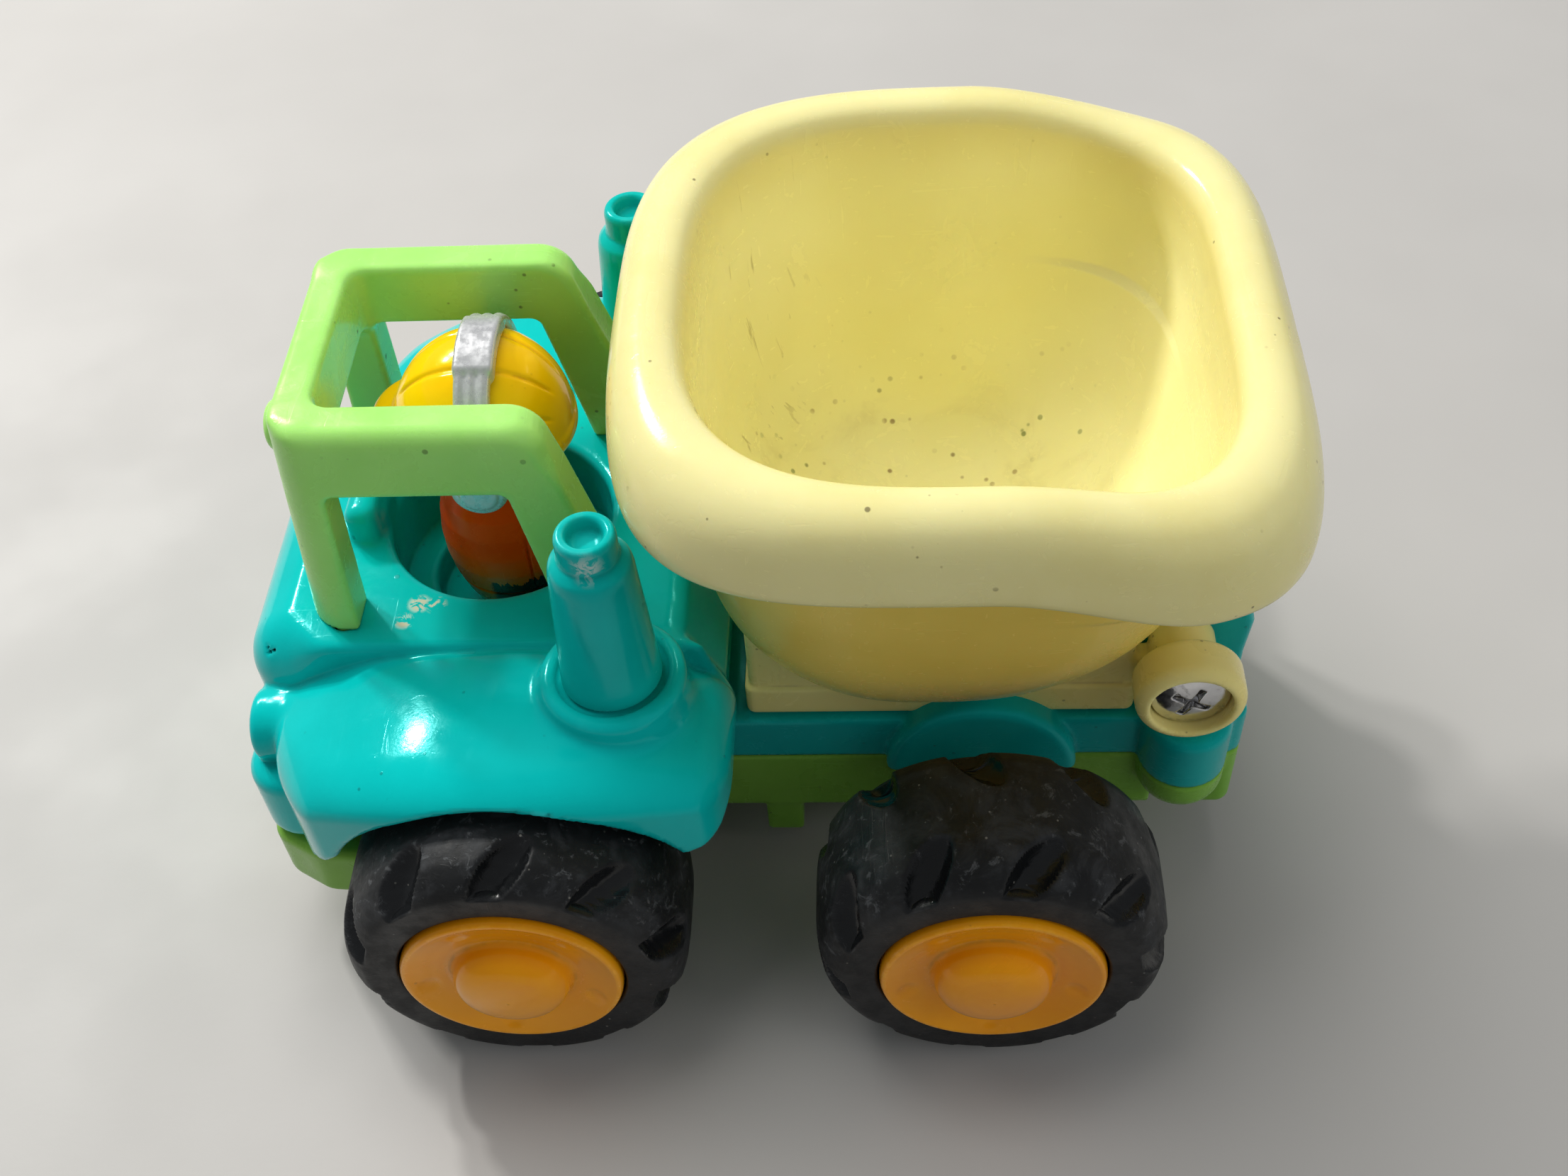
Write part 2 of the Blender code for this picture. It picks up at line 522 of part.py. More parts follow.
# -------------------------------------------------------------------- driver
O = (DRIVER_X, 0, 31.6)
make("driver_body", *lathe([(0, 28.7), (1.6, 28.7), (2.1, 29.3), (2.1, 31.6), (6.0, 31.6),
                            (6.8, 32.6), (7.1, 37.0), (6.9, 44.0), (6.3, 50.6), (5.0, 53.4),
                            (0, 53.9)], (DRIVER_X, 0), "Z", 20), RED_ORANGE, origin=O)
make("driver_head", *lathe([(0, 54.2), (3.8, 54.2), (6.6, 55.0), (8.0, 57.2), (8.4, 59.6),
                            (8.2, 60.9), (0, 60.9)], (DRIVER_X, 0), "Z", 20), SKIN, origin=O)
helmet = make("driver_helmet", *lathe([(0, 61.2), (8.9, 61.2), (9.0, 59.9), (10.2, 59.7),
                                       (10.6, 61.4), (10.2, 64.6), (8.9, 67.8), (6.6, 70.4),
                                       (3.6, 72.0), (0, 72.5)], (DRIVER_X, 0), "Z", 20),
              YELLOW, origin=O)
brim = [(36.5, -6.6), (40.5, -6.2), (43.0, -4.4), (44.4, 0.0), (43.0, 4.4), (40.5, 6.2), (36.5, 6.6)]
add(helmet, prism(rounded(brim, [0, 1.5, 2, 3, 2, 1.5, 0], 1), 61.4, 63.9, "Z"))


def arch_band(x0, x1, r0, r1, low, count=14):
    """Head band: an arch across the helmet, ending in the ear cups."""
    zc = 61.4
    rings_ = []
    for i in range(count + 1):
        t = math.pi * i / count
        c, s = math.cos(t), math.sin(t)
        rings_.append([(x0, r0 * c, zc + r0 * s * 1.03), (x1, r0 * c, zc + r0 * s * 1.03),
                       (x1, r1 * c, zc + r1 * s * 1.03), (x0, r1 * c, zc + r1 * s * 1.03)])
    first = [(x, y, low) for x, y, _ in rings_[0]]
    last = [(x, y, low) for x, y, _ in rings_[-1]]
    return loft([first] + rings_ + [last])


ears = make("ear_defenders", *arch_band(30.2, 34.4, 10.95, 11.9, 59.4), SILVER, origin=O)
for s in (-1, 1):
    ends = sorted((s * 10.6, s * 12.7))
    add(ears, rod(3.3, ends[0], ends[1], (DRIVER_X + 1.2, 60.2), "Y", 16, 0.6))


# ------------------------------------------------------- push-along flywheel
def gear(teeth, pitch_r, bore, lo, hi, centre, phase):
    """Spur gear about Y; tooth 0 stands at `phase` from +X towards +Z."""
    mod = 2.0 * pitch_r / teeth
    ro, ri = pitch_r + 0.75 * mod, pitch_r - 1.1 * mod
    outer = []
    for i in range(teeth):
        for frac, r in ((-0.30, ri), (-0.13, ro), (0.13, ro), (0.30, ri)):
            t = phase + 2.0 * math.pi * (i + frac) / teeth
            outer.append((centre[0] + r * math.cos(t), centre[1] + r * math.sin(t)))
    n = len(outer)
    inner = []
    for i in range(n):
        t = math.atan2(outer[i][1] - centre[1], outer[i][0] - centre[0])
        inner.append((centre[0] + bore * math.cos(t), centre[1] + bore * math.sin(t)))
    verts = [(p[0], lo, p[1]) for p in outer] + [(p[0], hi, p[1]) for p in outer] \
        + [(p[0], lo, p[1]) for p in inner] + [(p[0], hi, p[1]) for p in inner]
    faces = []
    for j in range(n):
        k = (j + 1) % n
        faces += [(j, k, n + k, n + j), (2 * n + k, 2 * n + j, 3 * n + j, 3 * n + k),
                  (k, j, 2 * n + j, 2 * n + k), (n + j, n + k, 3 * n + k, 3 * n + j)]
    return verts, faces


AX = (-WHEELBASE / 2, AXLE_Z)
IDLER = (AX[0] + 4.90, AX[1] - 3.05)
FLY = (IDLER[0] + 5.45, IDLER[1] + 0.30)
a1 = math.atan2(IDLER[1] - AX[1], IDLER[0] - AX[0])
a2 = math.atan2(FLY[1] - IDLER[1], FLY[0] - IDLER[0])
make("drive_gear", *gear(16, 3.6, AXLE_R + GAP, -3.0, 0.0, AX, a1), WHITE, origin=(AX[0], 0, AX[1]))
idler = make("idler_gear", *gear(8, 2.0, 1.1, -3.2, 1.0, IDLER, a1 + math.pi + math.pi / 8), WHITE,
             origin=(IDLER[0], 0, IDLER[1]))
add(idler, gear(18, 3.9, 1.1, 0.6, 3.0, IDLER, a2))
make("idler_pin", *rod(0.8, -6.6, 6.6, IDLER, "Y", 10), STEEL)
fly = make("flywheel", *rod(4.3, -6.0, -3.6, FLY, "Y", 24, 0.3), BRASS, origin=(FLY[0], 0, FLY[1]))
add(fly, rod(0.8, -8.2, 6.6, FLY, "Y", 10))
add(fly, gear(7, 1.5, 0.5, 0.4, 3.2, FLY, a2 + math.pi + math.pi / 7))

for tag, s in (("left", 1), ("right", -1)):
    lo, hi = (0.15, 7.4) if s > 0 else (-8.8, -0.15)
    case = make("motor_case_" + tag, *prism(rounded([(-33.9, 11.8), (-11.4, 11.8), (-11.4, 25.6),
                                                     (-33.9, 25.6)], 1.5, 2), lo, hi, "Y"), WHITE)
    wall = 1.3
    inner_lo, inner_hi = (lo - 5.0, hi - wall) if s > 0 else (lo + wall, hi + 5.0)
    cut(case, prism([(-32.6, 13.0), (-12.6, 13.0), (-12.6, 24.7), (-32.6, 24.7)], inner_lo, inner_hi, "Y"))
    cut(case, rod(AXLE_R + GAP, -20, 20, AX, "Y", 16))
    cut(case, rod(1.1, -20, 20, IDLER, "Y", 10))
    cut(case, rod(1.1, -20, 20, FLY, "Y", 10))
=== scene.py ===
"""Looks of the toy dump truck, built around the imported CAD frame."""
import json
import math

import bmesh
import bpy
import numpy as np
from mathutils import Matrix, Vector


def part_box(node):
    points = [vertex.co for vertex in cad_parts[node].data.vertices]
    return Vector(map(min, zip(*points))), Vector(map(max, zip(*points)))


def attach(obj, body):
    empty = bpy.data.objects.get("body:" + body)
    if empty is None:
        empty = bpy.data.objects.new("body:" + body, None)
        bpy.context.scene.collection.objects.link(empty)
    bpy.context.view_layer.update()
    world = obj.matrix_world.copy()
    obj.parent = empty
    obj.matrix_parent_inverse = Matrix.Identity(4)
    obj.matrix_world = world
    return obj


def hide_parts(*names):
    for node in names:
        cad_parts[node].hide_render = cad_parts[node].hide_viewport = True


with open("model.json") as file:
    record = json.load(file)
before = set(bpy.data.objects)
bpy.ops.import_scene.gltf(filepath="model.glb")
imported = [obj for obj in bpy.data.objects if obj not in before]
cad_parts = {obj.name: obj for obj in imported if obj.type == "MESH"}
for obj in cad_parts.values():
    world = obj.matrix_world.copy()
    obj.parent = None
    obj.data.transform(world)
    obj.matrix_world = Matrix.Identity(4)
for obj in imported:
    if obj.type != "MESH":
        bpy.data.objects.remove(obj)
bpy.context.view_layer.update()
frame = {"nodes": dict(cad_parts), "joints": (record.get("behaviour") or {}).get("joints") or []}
NODES = frame["nodes"]
MM = 0.001
F4 = np.float32
FINE = 1.0       # coarser grid while trying things

# positions, in millimetres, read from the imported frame
def node_box(name):
    lo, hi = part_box(name)
    return np.array(lo) * 1000.0, np.array(hi) * 1000.0


JOINT = {j["name"]: j for j in frame["joints"]}
AX_F = [c * 1000 for c in JOINT["front_axle_spin"]["pos_m"]]
AX_R = [c * 1000 for c in JOINT["rear_axle_spin"]["pos_m"]]
PIV = [c * 1000 for c in JOINT["bucket_tilt"]["pos_m"]]
DRV = [c * 1000 for c in JOINT["driver_turn"]["pos_m"]]


# ------------------------------------------------------------ distance fields
def length(*a):
    s = 0.0
    for v in a:
        s = s + v * v
    return np.sqrt(s)


def rint(a, b, r):
    """Intersection with its edge rounded to radius r."""
    return length(np.maximum(a + r, 0), np.maximum(b + r, 0)) + np.minimum(np.maximum(a, b), -r)


def runi(a, b, r):
    return -rint(-a, -b, r)


def rsub(a, b, r):
    return rint(a, -b, r)


def smin(a, b, k):
    h = np.clip(0.5 + 0.5 * (b - a) / k, 0, 1)
    return b + (a - b) * h - k * h * (1 - h)


def smax(a, b, k):
    return -smin(-a, -b, k)


def sbox(x, y, z, x0, x1, y0, y1, z0, z1, r=0.5):
    qx = abs(x - (x0 + x1) / 2) - (x1 - x0) / 2 + r
    qy = abs(y - (y0 + y1) / 2) - (y1 - y0) / 2 + r
    qz = abs(z - (z0 + z1) / 2) - (z1 - z0) / 2 + r
    out = length(np.maximum(qx, 0), np.maximum(qy, 0), np.maximum(qz, 0))
    return out + np.minimum(np.maximum(qx, np.maximum(qy, qz)), 0) - r


def scyl(u, v, h, rad, lo, hi, r=0.4):
    """Cylinder about the h axis with rounded rims; u, v measured from the axis."""
    return rint(length(u, v) - rad, abs(h - (lo + hi) / 2) - (hi - lo) / 2, r)


def spoly(u, v, pts):
    """Signed distance to a polygon."""
    d, flip = None, None
    n = len(pts)
    for i in range(n):
        ax_, ay_ = pts[i]
        bx_, by_ = pts[i - 1]
        ex, ey = bx_ - ax_, by_ - ay_
        wx, wy = u - ax_, v - ay_
        t = np.clip((wx * ex + wy * ey) / (ex * ex + ey * ey), 0, 1)
        dd = (wx - ex * t) ** 2 + (wy - ey * t) ** 2
        c1, c2, c3 = v >= ay_, v < by_, ex * wy > ey * wx
        f = (c1 & c2 & c3) | (~c1 & ~c2 & ~c3)
        d = dd if d is None else np.minimum(d, dd)
        flip = f if flip is None else flip ^ f
    return np.where(flip, -1.0, 1.0) * np.sqrt(d)


def rounded(points, radii, segs=6):
    out = []
    n = len(points)
    for i, p in enumerate(points):
        r = radii[i] if isinstance(radii, (list, tuple)) else radii
        p = Vector(p)
        a = Vector(points[i - 1]) - p
        b = Vector(points[(i + 1) % n]) - p
        if r <= 0:
            out.append(tuple(p))
            continue
        a.normalize()
        b.normalize()
        half = math.acos(max(-1.0, min(1.0, a.dot(b)))) / 2.0
        d = r / math.tan(half)
        c = p + (a + b).normalized() * (r / math.sin(half))
        s, e = p + a * d - c, p + b * d - c
        ang = math.acos(max(-1.0, min(1.0, s.normalized().dot(e.normalized()))))
        for k in range(segs + 1):
            t = k / segs
            v = (s * math.sin((1 - t) * ang) + e * math.sin(t * ang)) / math.sin(ang)
            out.append(tuple(c + v))
    return out


def step(e0, e1, x):
    t = np.clip((x - e0) / (e1 - e0), 0.0, 1.0)
    return t * t * (3.0 - 2.0 * t)


# ------------------------------------------------------------ mesh from fields
def grid_surface(f, lo, hi, h):
    """A smooth closed quad surface where f crosses zero."""
    h = h * FINE
    ax = [np.arange(lo[i] - 1.5 * h, hi[i] + 2.5 * h, h).astype(F4) for i in range(3)]
    shape = tuple(len(a) for a in ax)
    F = np.broadcast_to(f(ax[0][:, None, None], ax[1][None, :, None], ax[2][None, None, :]),
                        shape).astype(F4)
    S = F < 0
    cnt = np.zeros(tuple(n - 1 for n in shape), np.uint8)
    for a in (0, 1):
        for b in (0, 1):
            for c in (0, 1):
                cnt += S[a:shape[0] - 1 + a, b:shape[1] - 1 + b, c:shape[2] - 1 + c]
    act = (cnt > 0) & (cnt < 8)
    I, J, K = np.nonzero(act)
    n = len(I)
    index = np.full(act.shape, -1, np.int32)
    index[I, J, K] = np.arange(n, dtype=np.int32)
    pos = np.zeros((n, 3))
    num = np.zeros(n)
    corner = [(a, b, c) for a in (0, 1) for b in (0, 1) for c in (0, 1)]
    for p in corner:
        for k in range(3):
            if p[k]:
                continue
            q = list(p)
            q[k] = 1
            fa = F[I + p[0], J + p[1], K + p[2]].astype(float)
            fb = F[I + q[0], J + q[1], K + q[2]].astype(float)
            m = (fa < 0) != (fb < 0)
            t = fa[m] / (fa[m] - fb[m])
            add = np.tile(np.array(p, float), (len(t), 1))
            add[:, k] += t
            pos[m] += add
            num[m] += 1
    pos /= num[:, None]
    P = np.stack([ax[0][I], ax[1][J], ax[2][K]], 1) + pos * h
    quads = []
    for k in range(3):
        o = [i for i in range(3) if i != k]
        s0 = [slice(None)] * 3
        s1 = [slice(None)] * 3
        s0[k], s1[k] = slice(0, -1), slice(1, None)
        diff = S[tuple(s0)] != S[tuple(s1)]
        g = np.argwhere(diff)
        g = g[(g[:, o[0]] > 0) & (g[:, o[1]] > 0) & (g[:, o[0]] < shape[o[0]] - 1)
              & (g[:, o[1]] < shape[o[1]] - 1)]
        inside = S[g[:, 0], g[:, 1], g[:, 2]]
        cells = []
        for da, db in ((-1, -1), (0, -1), (0, 0), (-1, 0)):
            c = g.copy()
            c[:, o[0]] += da
            c[:, o[1]] += db
            cells.append(index[c[:, 0], c[:, 1], c[:, 2]])
        q = np.stack(cells, 1)
        flip = inside if k != 1 else ~inside
        q[~flip] = q[~flip][:, ::-1]
        quads.append(q)
    quads = np.concatenate(quads)
    # settle onto the surface
    e = 0.06
    for _ in range(3):
        x, y, z = P[:, 0], P[:, 1], P[:, 2]
        d = f(x, y, z)
        gx = (f(x + e, y, z) - f(x - e, y, z)) / (2 * e)
        gy = (f(x, y + e, z) - f(x, y - e, z)) / (2 * e)
        gz = (f(x, y, z + e) - f(x, y, z - e)) / (2 * e)
        g2 = np.maximum(gx * gx + gy * gy + gz * gz, 0.15)
        s = np.clip(d / g2, -0.5 * h, 0.5 * h) * 0.85
        P = P - np.stack([gx * s, gy * s, gz * s], 1)
    return P, quads


def mesh_object(name, P, quads, mat, sharp=None):
    """P in millimetres."""
    me = bpy.data.meshes.new(name)
    P = np.asarray(P, float) * MM
    if isinstance(quads, list):
        me.from_pydata([tuple(p) for p in P], [], quads)
    else:
        k = quads.shape[1]
        me.vertices.add(len(P))
        me.vertices.foreach_set("co", P.astype(F4).ravel())
        me.loops.add(quads.size)
        me.loops.foreach_set("vertex_index", quads.astype(np.int32).ravel())
        me.polygons.add(len(quads))
        me.polygons.foreach_set("loop_start", np.arange(0, quads.size, k, dtype=np.int32))
        me.polygons.foreach_set("loop_total", np.full(len(quads), k, dtype=np.int32))
    me.update(calc_edges=True)
    me.validate()
    ob = bpy.data.objects.new(name, me)
    bpy.context.scene.collection.objects.link(ob)
    bm = bmesh.new()
    bm.from_mesh(me)
    if bm.calc_volume(signed=True) < 0:
        bmesh.ops.reverse_faces(bm, faces=bm.faces)
    bm.to_mesh(me)
    bm.free()
    me.shade_smooth()
    if sharp:
        me.set_sharp_from_angle(angle=math.radians(sharp))
    me.materials.append(mat)
    bend_attribute(me)
    return ob


def bend_attribute(me, rounds=3):
    """How convex (+) or hollow (-) the surface is at each vertex, per millimetre, for edge wear and for the grime and
    painted shade in the hollows.
    """
    n = len(me.vertices)
    co = np.empty(n * 3)
    me.vertices.foreach_get("co", co)
    co = co.reshape(-1, 3) * 1000
    nm = np.empty(n * 3)
    me.vertices.foreach_get("normal", nm)
    nm = nm.reshape(-1, 3)
    ed = np.empty(len(me.edges) * 2, np.int32)
    me.edges.foreach_get("vertices", ed)
    ed = ed.reshape(-1, 2)
    a, b = ed[:, 0], ed[:, 1]
    d = co[b] - co[a]
    l2 = np.maximum((d * d).sum(1), 1e-6)
    ka = -(d * nm[a]).sum(1) / l2
    kb = (d * nm[b]).sum(1) / l2
    deg = np.bincount(a, minlength=n) + np.bincount(b, minlength=n)
    deg = np.maximum(deg, 1)
    k = (np.bincount(a, ka, n) + np.bincount(b, kb, n)) / deg
    k = np.clip(k, -3, 3)
    for _ in range(rounds):
        k = 0.4 * k + 0.6 * (np.bincount(a, k[b], n) + np.bincount(b, k[a], n)) / deg
    at = me.attributes.new("bend", "FLOAT", "POINT")
    at.data.foreach_set("value", k.astype(F4))


def field(name, f, lo, hi, h, mat):
    P, q = grid_surface(f, lo, hi, h)
    return mesh_object(name, P, q, mat)


def revolve(name, profile, centre, axis, segs, mat, closed=False, shift=None, sharp=None):
    """Turn a fine (radius, height) profile; shift(r, h, t) may move each point."""
    prof = np.array(profile, float)
    m = len(prof)
    th = np.arange(segs) * 2 * math.pi / segs
    R = np.repeat(prof[:, :1], segs, 1)
    H = np.repeat(prof[:, 1:2], segs, 1)
    T = np.repeat(th[None, :], m, 0)
    if shift is not None:
        R, H = shift(R, H, T)
    U, V = R * np.cos(T), R * np.sin(T)
    if axis == "Y":
        P = np.stack([centre[0] + U, H, centre[1] + V], -1)
    elif axis == "Z":
        P = np.stack([centre[0] + U, centre[1] + V, H], -1)
    else:
        P = np.stack([H, centre[0] + U, centre[1] + V], -1)
    P = P.reshape(-1, 3)
    rows = m if closed else m - 1
    i = np.arange(rows)[:, None]
    j = np.arange(segs)[None, :]
    a = (i * segs + j)
    b = (i * segs + (j + 1) % segs)
    c = (((i + 1) % m) * segs + (j + 1) % segs)
    d = (((i + 1) % m) * segs + j)
    quads = np.stack([a, b, c, d], -1).reshape(-1, 4)
    if closed:
        return mesh_object(name, P, quads, mat, sharp)
    faces = [tuple(q) for q in quads.tolist()]
    faces.append(tuple(range(segs)))
    faces.append(tuple(range((m - 1) * segs, m * segs)))
    return mesh_object(name, P, faces, mat, sharp)


def soften(points, closed=False, r=0.35, pitch=0.35):
    """Rounds the corners of a profile and samples it evenly."""
    pts = [Vector(p) for p in points]
    n = len(pts)
    out = []
    for i, p in enumerate(pts):
        if not closed and i in (0, n - 1):
            out.append(p)
            continue
        a, b = pts[i - 1] - p, pts[(i + 1) % n] - p
        la, lb = a.length, b.length
        d = min(r, la * 0.45, lb * 0.45)
        for t in np.linspace(0, 1, 5):
            out.append(p + a.normalized() * d * (1 - t) ** 2 + b.normalized() * d * t ** 2)
    res = []
    m = len(out)
    for i in range(m if closed else m - 1):
        a, b = out[i], out[(i + 1) % m]
        k = max(1, int(math.ceil((b - a).length / pitch)))
        for s in range(k):
            res.append(tuple(a + (b - a) * (s / k)))
    if not closed:
        res.append(tuple(out[-1]))
    return res


# ----------------------------------------------------------------- materials
def nodes_of(m):
    m.use_nodes = True
    t = m.node_tree
    return t, t.nodes, t.links


class Mat:
    """Small helper to write a node material."""

    def __init__(self, name):
        self.m = bpy.data.materials.new(name)
        self.t, self.n, self.l = nodes_of(self.m)
        self.b = self.n["Principled BSDF"]
        self.co = self.n.new("ShaderNodeTexCoord").outputs["Object"]

    def set(self, key, v):
        self.b.inputs[key].default_value = v

    def out(self, key, s):
        self.l.new(s, self.b.inputs[key])

    def val(self, sock, v):
        if isinstance(v, (int, float)):
            sock.default_value = v
        elif isinstance(v, tuple):
            sock.default_value = (*v, 1.0) if len(v) == 3 and sock.type == "RGBA" else v
        else:
            self.l.new(v, sock)

    def noise(self, scale, detail=3.0, rough=0.5, dist=0.0, vec=None, stretch=None, offset=0.0):
        nd = self.n.new("ShaderNodeTexNoise")
        nd.inputs["Scale"].default_value = scale
        nd.inputs["Detail"].default_value = detail
        nd.inputs["Roughness"].default_value = rough
        nd.inputs["Distortion"].default_value = dist
        v = vec or self.co
        if stretch or offset:
            mp = self.n.new("ShaderNodeMapping")
            mp.inputs["Scale"].default_value = stretch or (1, 1, 1)
            mp.inputs["Location"].default_value = (offset, offset * 1.7, -offset)
            self.l.new(v, mp.inputs["Vector"])
            v = mp.outputs["Vector"]
        self.l.new(v, nd.inputs["Vector"])
        return nd.outputs["Fac"]

    def cells(self, scale, rand=1.0, feature="F1"):
        nd = self.n.new("ShaderNodeTexVoronoi")
        nd.feature = feature
        nd.inputs["Scale"].default_value = scale
        nd.inputs["Randomness"].default_value = rand
        self.l.new(self.co, nd.inputs["Vector"])
        return nd.outputs["Distance"]

    def ramp(self, fac, lo, hi, a=0.0, b=1.0, smooth=True):
        nd = self.n.new("ShaderNodeMapRange")
        nd.interpolation_type = "SMOOTHSTEP" if smooth else "LINEAR"
        for k, v in (("Value", fac), ("From Min", lo), ("From Max", hi), ("To Min", a), ("To Max", b)):
            self.val(nd.inputs[k], v)
        return nd.outputs["Result"]

    def math(self, op, a, b=0.0, clamp=False):
        nd = self.n.new("ShaderNodeMath")
        nd.operation = op
        nd.use_clamp = clamp
        self.val(nd.inputs[0], a)
        self.val(nd.inputs[1], b)
        return nd.outputs[0]

    def mix(self, fac, a, b, blend="MIX"):
        nd = self.n.new("ShaderNodeMix")
        nd.data_type = "RGBA"
        nd.blend_type = blend
        self.val(nd.inputs["Factor"], fac)
        self.val(nd.inputs["A"], a)
        self.val(nd.inputs["B"], b)
        return nd.outputs["Result"]

    def attr(self, name):
        nd = self.n.new("ShaderNodeAttribute")
        nd.attribute_name = name
        return nd.outputs["Fac"]

    def xyz(self):
        nd = self.n.new("ShaderNodeSeparateXYZ")
        self.l.new(self.co, nd.inputs[0])
        return nd.outputs

    def near(self, p, r0, r1):
        """1 within r0 mm of a point, 0 beyond r1."""
        nd = self.n.new("ShaderNodeVectorMath")
        nd.operation = "DISTANCE"
        self.l.new(self.co, nd.inputs[0])
        nd.inputs[1].default_value = tuple(c * MM for c in p)
        return self.ramp(nd.outputs["Value"], r0 * MM, r1 * MM, 1.0, 0.0)

    def bump(self, height, dist, strength=1.0, normal=None):
        nd = self.n.new("ShaderNodeBump")
        nd.inputs["Strength"].default_value = strength
        nd.inputs["Distance"].default_value = dist
        self.l.new(height, nd.inputs["Height"])
        if normal is not None:
            self.l.new(normal, nd.inputs["Normal"])
        return nd.outputs["Normal"]


def scratches(k, seed=0.0):
    """Fine crossing scratch lines, 0 to 1."""
    total = None
    for i, st in enumerate(((60, 900, 900), (900, 70, 900), (900, 900, 80), (300, 60, 1300))):
        s = k.noise(1.0, 2.0, 0.6, 0.4, stretch=st, offset=0.37 * (i + 1) + seed)
        line = k.ramp(s, 0.66, 0.70)
        total = line if total is None else k.math("MAXIMUM", total, line)
    return total


def plastic(name, base, dark, light, rough=0.22, sss=0.0, sss_radius=(1, 1, 1), specks=0.6,
            speck_colour=(0.05, 0.045, 0.03), hollow_grime_shade=(0.25, 0.2, 0.12), coat=0.0, scratch=0.5,
            extra=None, seed=0.0, hollow_grime_shade_amount=0.5, speck_size=520.0, tint=(1.0, 1.0, 1.0)):
    """Moulded toy plastic: mottled tone, dirt specks, faint scratches, and the hollows darkened as grime and painted
    shade.
    """
    k = Mat(name)
    tone = k.noise(55.0, 3.0, 0.55, offset=seed)
    c = k.mix(k.ramp(tone, 0.32, 0.68), dark, light)
    fine = k.noise(900.0, 2.0, 0.5, offset=seed)
    c = k.mix(0.45, base, c)
    c = k.mix(k.ramp(fine, 0.35, 0.7, 0.0, 0.10), c, light)
    bend = k.attr("bend")
    wear = k.math("MULTIPLY", k.ramp(bend, 0.12, 0.55), k.ramp(k.noise(420.0, 4.0, 0.6), 0.45, 0.62))
    c = k.mix(k.math("MULTIPLY", wear, 0.22), c, (min(1, light[0] * 1.25 + 0.08),
              min(1, light[1] * 1.15 + 0.06), min(1, light[2] * 1.15 + 0.06)))
    # hollows darkened towards the hollow colour: grime, and painted shade in the creases and recesses
    hollow = k.math("MULTIPLY", k.ramp(bend, -0.08, -0.5), k.ramp(k.noise(260.0, 4.0, 0.6), 0.36, 0.62))
    c = k.mix(k.math("MULTIPLY", hollow, hollow_grime_shade_amount), c, hollow_grime_shade)
    # dirt specks
    cell = k.cells(speck_size)
    pick = k.noise(170.0, 1.0, 0.5, offset=seed + 2.1)
    dot = k.math("MULTIPLY", k.ramp(cell, 0.13, 0.07), k.ramp(pick, 0.57, 0.66))
    big = k.math("MULTIPLY", k.ramp(k.cells(190.0), 0.075, 0.05), k.ramp(k.noise(60.0, 1.0, offset=seed + 5), 0.55, 0.62))
    dot = k.math("MAXIMUM", dot, big)
    c = k.mix(k.math("MULTIPLY", dot, specks), c, speck_colour)
    sc = scratches(k, seed)
    c = k.mix(k.math("MULTIPLY", sc, 0.10 * scratch), c, light)
    smudge = k.noise(120.0, 5.0, 0.65, 0.8, offset=seed + 1.3)
    r = k.ramp(smudge, 0.35, 0.72, rough * 0.75, rough * 1.5)
    r = k.math("ADD", r, k.math("MULTIPLY", sc, 0.10 * scratch))
    r = k.math("ADD", r, k.math("MULTIPLY", wear, 0.12))
    r = k.math("ADD", r, k.math("MULTIPLY", k.math("ADD", hollow, dot), 0.25), clamp=True)
    if extra is not None:
        c, r = extra(k, c, r)
    k.out("Base Color", c)
    k.out("Roughness", r)
    if sss:
        k.set("Subsurface Weight", sss)
        k.set("Subsurface Radius", sss_radius)
        k.set("Subsurface Scale", 0.0022)
    k.set("IOR", 1.5)
    k.set("Specular Tint", (*tint, 1.0))
    if coat:
        k.set("Coat Weight", coat)
        k.set("Coat Roughness", 0.08)
    n1 = k.bump(k.noise(260.0, 2.0, 0.5), 0.00006, 0.5)
    n2 = k.bump(k.noise(2600.0, 2.0, 0.5), 0.000012, 0.5, n1)
    n3 = k.bump(k.math("MULTIPLY", sc, -1.0), 0.00001, 0.6 * scratch, n2)
    n4 = k.bump(dot, 0.00004, 0.5, n3)
    k.l.new(n4, k.b.inputs["Normal"])
    return k.m


def deck_marks(k, c, r):
    """Dried mud flecks on the left of the deck; the exhaust's rim gets its own in stack_marks."""
    blot = k.noise(640.0, 4.0, 0.65, 0.6)
    m = None
    for p, a, b in (((40.0, 15.1, 45.0), 0.7, 1.7), ((37.9, 15.3, 45.0), 0.5, 1.6),
                    ((41.4, 17.8, 45.0), 0.6, 1.5)):
        s = k.near(p, a, b)
        m = s if m is None else k.math("MAXIMUM", m, s)
    m = k.math("MULTIPLY", m, k.ramp(blot, 0.46, 0.54))
    c = k.mix(m, c, (0.62, 0.57, 0.40))
    r = k.math("ADD", r, k.math("MULTIPLY", m, 0.5), clamp=True)
    return c, r


def stack_marks(k, c, r):
    blot = k.noise(700.0, 4.0, 0.65, 0.6)
    m = k.math("MULTIPLY", k.near((14.6, 31.6, 68.8), 0.5, 2.4), k.ramp(blot, 0.44, 0.54))
    c = k.mix(m, c, (0.50, 0.66, 0.62))
    r = k.math("ADD", r, k.math("MULTIPLY", m, 0.5), clamp=True)
    return c, r


